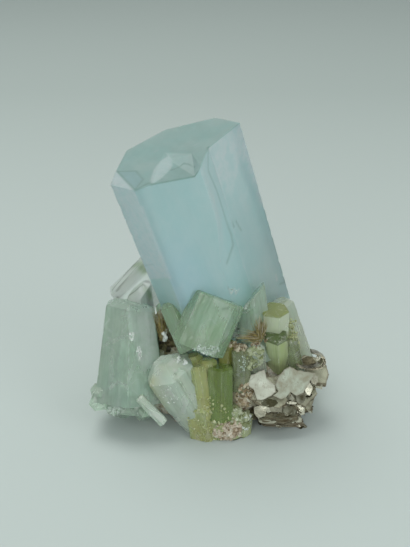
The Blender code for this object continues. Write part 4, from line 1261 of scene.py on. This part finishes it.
# Thin blades: a flat four-cornered section carried from the root to each tip along a slightly bent line,
# widest at two fifths of the way and pointed at the tip.
def bladeTuft(name, root, tips, finish, replaced):
    draw = np.random.default_rng(len(name) + 5)
    root, tips = np.array(root), np.array(tips)
    count = len(tips) * blade["each"]
    short = draw.uniform(blade["shortest"], 1.0, count)
    short[::blade["each"]] = 1.0
    spread = draw.normal(size=(count, 3)) * blade["spread"]
    spread[::blade["each"]] = 0
    along = (np.repeat(tips, blade["each"], 0) + spread - root) * short[:, None]
    start = root + draw.normal(size=(count, 3)) * blade["spread"]
    rise = np.linspace(0, 1, blade["rows"])[None, :, None]
    bend = draw.normal(size=(count, 1, 3)) * blade["bend"] * rise * (1 - rise)
    line = start[:, None] + along[:, None] * rise + bend
    ahead = along / np.linalg.norm(along, axis=1, keepdims=True)
    wide = np.cross(ahead, draw.normal(size=(count, 3)))
    wide /= np.linalg.norm(wide, axis=1, keepdims=True)
    thick = np.cross(ahead, wide) * blade["thick"] / 2
    wide *= blade["wide"] / 2
    swell = (0.35 + 2.0 * rise * (1 - rise) + 0.1) * (1 - rise ** 3) + 0.02
    pale = draw.random(count) < blade["paleShare"]
    mark = np.append(np.repeat(rise[0, :, 0], 4), [0, 1])
    section = np.stack([wide, thick, -wide, -thick], 1)
    grids = line[:, :, None] + swell[..., None] * section[:, None]
    parts = []
    for grid, middle in zip(grids, line):
        points = np.concatenate([grid.reshape(-1, 3), middle[:1], middle[-1:]])
        parts.append((points, skinFaces(*grid.shape[:2]), mark))
    points, faces, mark = joined(parts)
    marks = {"along": mark, "pale": np.repeat(pale, len(points) // count)}
    return makePiece(name, points, faces, finish, marks, replaced)


blades = bladeFinish()
bladePieces = []
for name, tuft in tufts.items():
    bladePieces.append(bladeTuft(name, tuft["root"], tuft["tips"], blades, tuft["node"]))
report("blades", bladePieces)


# Grains

# A look that varies from grain to grain by the mesh's tone mark.
def grainFinish(name, light, middle, dark, through, rough):
    material, tree = newMaterial(name)
    tone = meshMark(tree, "tone")
    fine = noise(tree, objectPlace(tree), 2600, 3)
    body = mixed(tree, stretched(tree, tone, 0.30, 0.60), light, middle)
    body = mixed(tree, stretched(tree, tone, 0.66, 0.92), body, dark)
    body = mixed(tree, stretched(tree, fine, 0.50, 0.75, (0, 0.5)), body, middle)
    values = {"IOR": 1.56, "Transmission Weight": through}
    return finished(material, tree, body, stretched(tree, fine, 0.3, 0.7, rough), fine, (0.3, 0.0001), values)


# Each: its material's name, light, middle and dark tones,
# the share of light let through, least and most roughness.
grainLooks = {
    "white": ("whiteGrains", (0.94, 0.98, 0.95), (0.86, 0.92, 0.87), (0.66, 0.73, 0.65), 0.2, (0.12, 0.4)),
    "glint": ("glassGrains", (0.88, 0.98, 0.90), (0.74, 0.88, 0.77), (0.52, 0.66, 0.54), 0.4, (0.06, 0.3)),
    "yellow": ("yellowGrains", (0.70, 0.74, 0.43), (0.61, 0.66, 0.32), (0.44, 0.47, 0.18), 0.4, (0.1, 0.35)),
    "green": ("greenGrains", (0.70, 0.76, 0.54), (0.54, 0.60, 0.34), (0.28, 0.32, 0.12), 0.4, (0.1, 0.3)),
    "pink": ("pinkGrains", (0.68, 0.60, 0.48), (0.48, 0.38, 0.27), (0.26, 0.18, 0.10), 0.1, (0.3, 0.7)),
    "brown": ("brownGrains", (0.62, 0.56, 0.42), (0.36, 0.27, 0.15), (0.12, 0.08, 0.04), 0.1, (0.3, 0.7)),
    "dark": ("darkGrains", (0.22, 0.19, 0.09), (0.12, 0.09, 0.04), (0.04, 0.03, 0.015), 0.1, (0.3, 0.7)),
}
grainFinishes = {kind: grainFinish(*look) for kind, look in grainLooks.items()}
# Each: pieces whose skins carry it, middle, half sizes of
# the patch, number of grains, their sizes, roundness, look.
grainPatches = {
    "gapBeads": (("bladesLeft",), (-8.4, -5.8, 21.4), (0.6, 1.0, 1.6), 9, (0.36, 0.72), 0.95, "white"),
    "underCentre": (("centrePrism",), (0.2, -13.6, 22.3), (2.8, 1.5, 1.1), 110, (0.06, 0.26), 0.2, "glint"),
    "stubRidge": (("frontStub", "yellowBack", "stubStep"), (-4.4, -12.2, 19.4), (2.4, 2.6, 1.6), 70,
                  (0.12, 0.36), 0.3, "white"),
    "barrelGlints": (("barrel",), (7.8, -11.4, 17.6), (0.9, 0.9, 1.8), 34, (0.06, 0.20), 0.2, "glint"),
    "apexGlints": (("pointed", "bigPrism"), (8.3, -5.8, 28.4), (1.2, 1.2, 2.0), 60, (0.06, 0.22), 0.2,
                   "glint"),
    "fissureUpper": (("leftPrism",), (-15.2, -9.1, 22.7), (0.6, 0.7, 1.1), 40, (0.07, 0.20), 0.2, "white"),
    "fissureLower": (("leftPrism",), (-13.8, -9.8, 19.0), (0.5, 0.9, 1.9), 60, (0.07, 0.20), 0.2, "white"),
    "frontBubbles": (("bigPrism",), (5.8, -5.5, 31.6), (1.3, 1.1, 0.9), 26, (0.05, 0.14), 0.3, "white"),
    "leftFootGlints": (("leftPrism", "underLeft", "cornerLower"), (-19.0, -14.2, 7.8), (2.6, 1.6, 1.2), 60,
                       (0.14, 0.42), 0.3, "glint"),
    "stubGlints": (("frontStub", "stubStep"), (-7.5, -14.2, 12.2), (2.4, 1.6, 3.4), 40, (0.06, 0.18), 0.3,
                   "white"),
    "footGrains": (("footLeft", "footMiddle", "greenHexagon", "yellowLeft"), (0.6, -14.0, 5.4),
                   (5.0, 2.2, 5.6), 240, (0.12, 0.38), 0.5, "yellow"),
    "pinkGrains": (("footMiddle", "feldspar4", "footRight"), (4.8, -13.9, 2.8), (3.0, 1.5, 2.9), 200,
                   (0.18, 0.50), 0.6, "pink"),
    "brownGrains": (("barrel", "feldspar5", "greenHexagon"), (8.4, -11.5, 9.4), (2.0, 1.7, 3.6), 170,
                    (0.16, 0.46), 0.6, "brown"),
    "whiteBits": (("greenFoot", "feldspar4"), (9.0, -12.4, 4.0), (1.3, 1.2, 2.4), 45, (0.16, 0.44), 0.6,
                  "white"),
    "greenGrains": (("footRight", "greenFoot"), (7.2, -12.8, 4.6), (2.2, 1.6, 3.6), 90, (0.2, 0.55), 0.7,
                    "green"),
    "paleLumps": (("paleLump", "barrel", "darkTop"), (10.6, -10.2, 18.0), (2.0, 1.5, 3.4), 90, (0.20, 0.60),
                  0.7, "green"),
    "bladeGrit": (("pointed", "paleLump", "darkTop"), (10.6, -8.6, 21.8), (2.8, 2.2, 1.6), 70, (0.12, 0.36),
                  0.5, "brown"),
    "tuftGrit": (("barrel", "pointed", "oliveLump", "paleLump", "feldspar5"), (7.6, -9.4, 21.6),
                 (3.0, 2.4, 1.8), 130, (0.14, 0.46), 0.5, "brown"),
    "rightPits": (("rightBack", "rimGlass"), (19.2, -2.8, 20.0), (1.8, 4.5, 3.4), 170, (0.08, 0.26), 0.4,
                  "yellow"),
    "leftBase": (("underLeft", "underMiddle", "underRight"), (-15.6, -14.2, 6.4), (6.5, 2.4, 2.8), 36,
                 (0.10, 0.30), 0.3, "glint"),
    "gapGrit": (("feldspar2",), (-8.4, -1.4, 19.2), (2.6, 3.0, 3.8), 300, (0.30, 0.75), 0.5, "dark"),
    "glassFill": (("bigPrism",), (6.9, -4.0, 22.4), (1.8, 1.4, 3.2), 150, (0.16, 0.46), 0.3, "glint"),
    "backGrit": (("feldspar1",), (3.0, 14.0, 7.0), (14.0, 6.0, 8.0), 500, (0.20, 0.60), 0.6, "pink"),
}
grain = {
    "rings": (-50, 0, 50),
    "around": 5,
    "push": 0.3,
    "squash": 0.5,
    "evenness": 0.6,
}


# Angular grains: a coarse ball of three rings and two ends for each, its points pushed in and out, squashed,
# turned at random and set down on points of other pieces' skins inside an oval patch.
def grainPatch(name, carriers, middle, halves, count, sizes, roundness, kind):
    draw = np.random.default_rng(seedOf(name))
    skin = np.concatenate([skins[carrier] for carrier in carriers])
    inside = skin[(((skin - middle) / halves) ** 2).sum(1) < 1]
    bearing = np.radians(360 / grain["around"] * np.arange(grain["around"]))
    rings = ballRings(np.radians(grain["rings"])[:, None], bearing[None, :])
    ball = np.concatenate([rings.reshape(-1, 3), ballEnds])
    push = 1 + draw.normal(size=(count, len(ball), 1)) * grain["push"] * (1 - roundness)
    squash = draw.uniform(-grain["squash"], grain["squash"], (count, 1, 3))
    stretch = 1 + squash * (1 - grain["evenness"] * roundness)
    size = draw.uniform(*sizes, (count, 1, 1))
    turn = np.linalg.qr(draw.normal(size=(count, 3, 3)))[0]
    turn = turn * np.sign(np.linalg.det(turn))[:, None, None]
    place = inside[draw.integers(0, len(inside), count)][:, None]
    points = ((ball * push * stretch * size) @ turn + place).reshape(-1, 3)
    start = (len(ball) * np.arange(count))[:, None, None]
    faces = [(part + start).reshape(-1, part.shape[1]) for part in skinFaces(*rings.shape[:2])]
    tone = np.repeat(draw.random(count), len(ball))
    rocky = kind in ("pink", "brown", "dark")
    slot, replaced = ("feldspar", "feldspar_matrix") if rocky else ("beryl", "aquamarine_crystals")
    return makePiece(name, points, faces, grainFinishes[kind], {"tone": tone}, replaced)


report("grains", [grainPatch(name, *patch) for name, patch in grainPatches.items()])


# Camera, floor and light

view = {
    "place": (0.0, -0.15951, 0.10738),
    "pitch": 65.0,
    "lens": 54.3,
    "sensor": 36.0,
}


def setCamera():
    camera = bpy.data.cameras.new("camera")
    camera.sensor_fit = "VERTICAL"
    camera.sensor_height = view["sensor"]
    camera.lens = view["lens"]
    camera.clip_start = 0.01
    holder = bpy.data.objects.new("camera", camera)
    holder.location = view["place"]
    holder.rotation_euler = (math.radians(view["pitch"]), 0, 0)
    bpy.context.scene.collection.objects.link(holder)
    bpy.context.scene.camera = holder


def setFloor():
    material, tree = newMaterial("paleFloor")
    far = node(tree, "ShaderNodeSeparateXYZ", None, {"Vector": objectPlace(tree)}).outputs["Y"]
    # The floor is darker towards the back: painted shade for the light falling off up the sweep.
    tone = mixed(tree, stretched(tree, far, 0.02, 0.32), (0.485, 0.542, 0.523), (0.405, 0.46, 0.44))
    shader = node(tree, "ShaderNodeBsdfPrincipled", {"Roughness": 0.75, "Specular IOR Level": 0.2},
                  {"Base Color": tone})
    node(tree, "ShaderNodeOutputMaterial", None, {"Surface": shader.outputs[0]})
    mesh = bpy.data.meshes.new("floor")
    reach = 3.0
    mesh.from_pydata([(-reach, -reach, 0), (reach, -reach, 0), (reach, reach, 0), (-reach, reach, 0)], [],
                     [(0, 1, 2, 3)])
    mesh.materials.append(material)
    floor = bpy.data.objects.new("floor", mesh)
    bpy.context.scene.collection.objects.link(floor)


# Each lamp: place, what it looks at, size, power and colour.
lamps = {
    "overhead": ((-0.20, 0.12, 0.82), (0, 0.04, 0.0), 0.60, 3.15, (1.0, 1.0, 0.98)),
    "front": ((-0.12, -0.62, 0.44), (0, 0, 0.03), 0.45, 1.2, (0.98, 1.0, 1.0)),
    "frontRight": ((0.42, -0.35, 0.36), (0, 0, 0.03), 0.35, 0.5, (0.98, 0.99, 1.0)),
}
surround = {"colour": (0.82, 0.88, 0.87), "strength": 0.63}


def setLight():
    for name, (place, aim, size, power, tone) in lamps.items():
        lamp = bpy.data.lights.new(name, "AREA")
        lamp.shape = "DISK"
        lamp.size = size
        lamp.energy = power
        lamp.color = tone
        holder = bpy.data.objects.new(name, lamp)
        holder.location = place
        holder.rotation_euler = (Vector(aim) - Vector(place)).to_track_quat("-Z", "Y").to_euler()
        bpy.context.scene.collection.objects.link(holder)
    sky = bpy.data.worlds.new("studio")
    sky.use_nodes = True
    background = sky.node_tree.nodes["Background"]
    background.inputs["Color"].default_value = colour(surround["colour"])
    background.inputs["Strength"].default_value = surround["strength"]
    bpy.context.scene.world = sky


setCamera()
setFloor()
setLight()
bpy.context.scene.view_settings.view_transform = "Standard"
print("camera, floor and light are set")
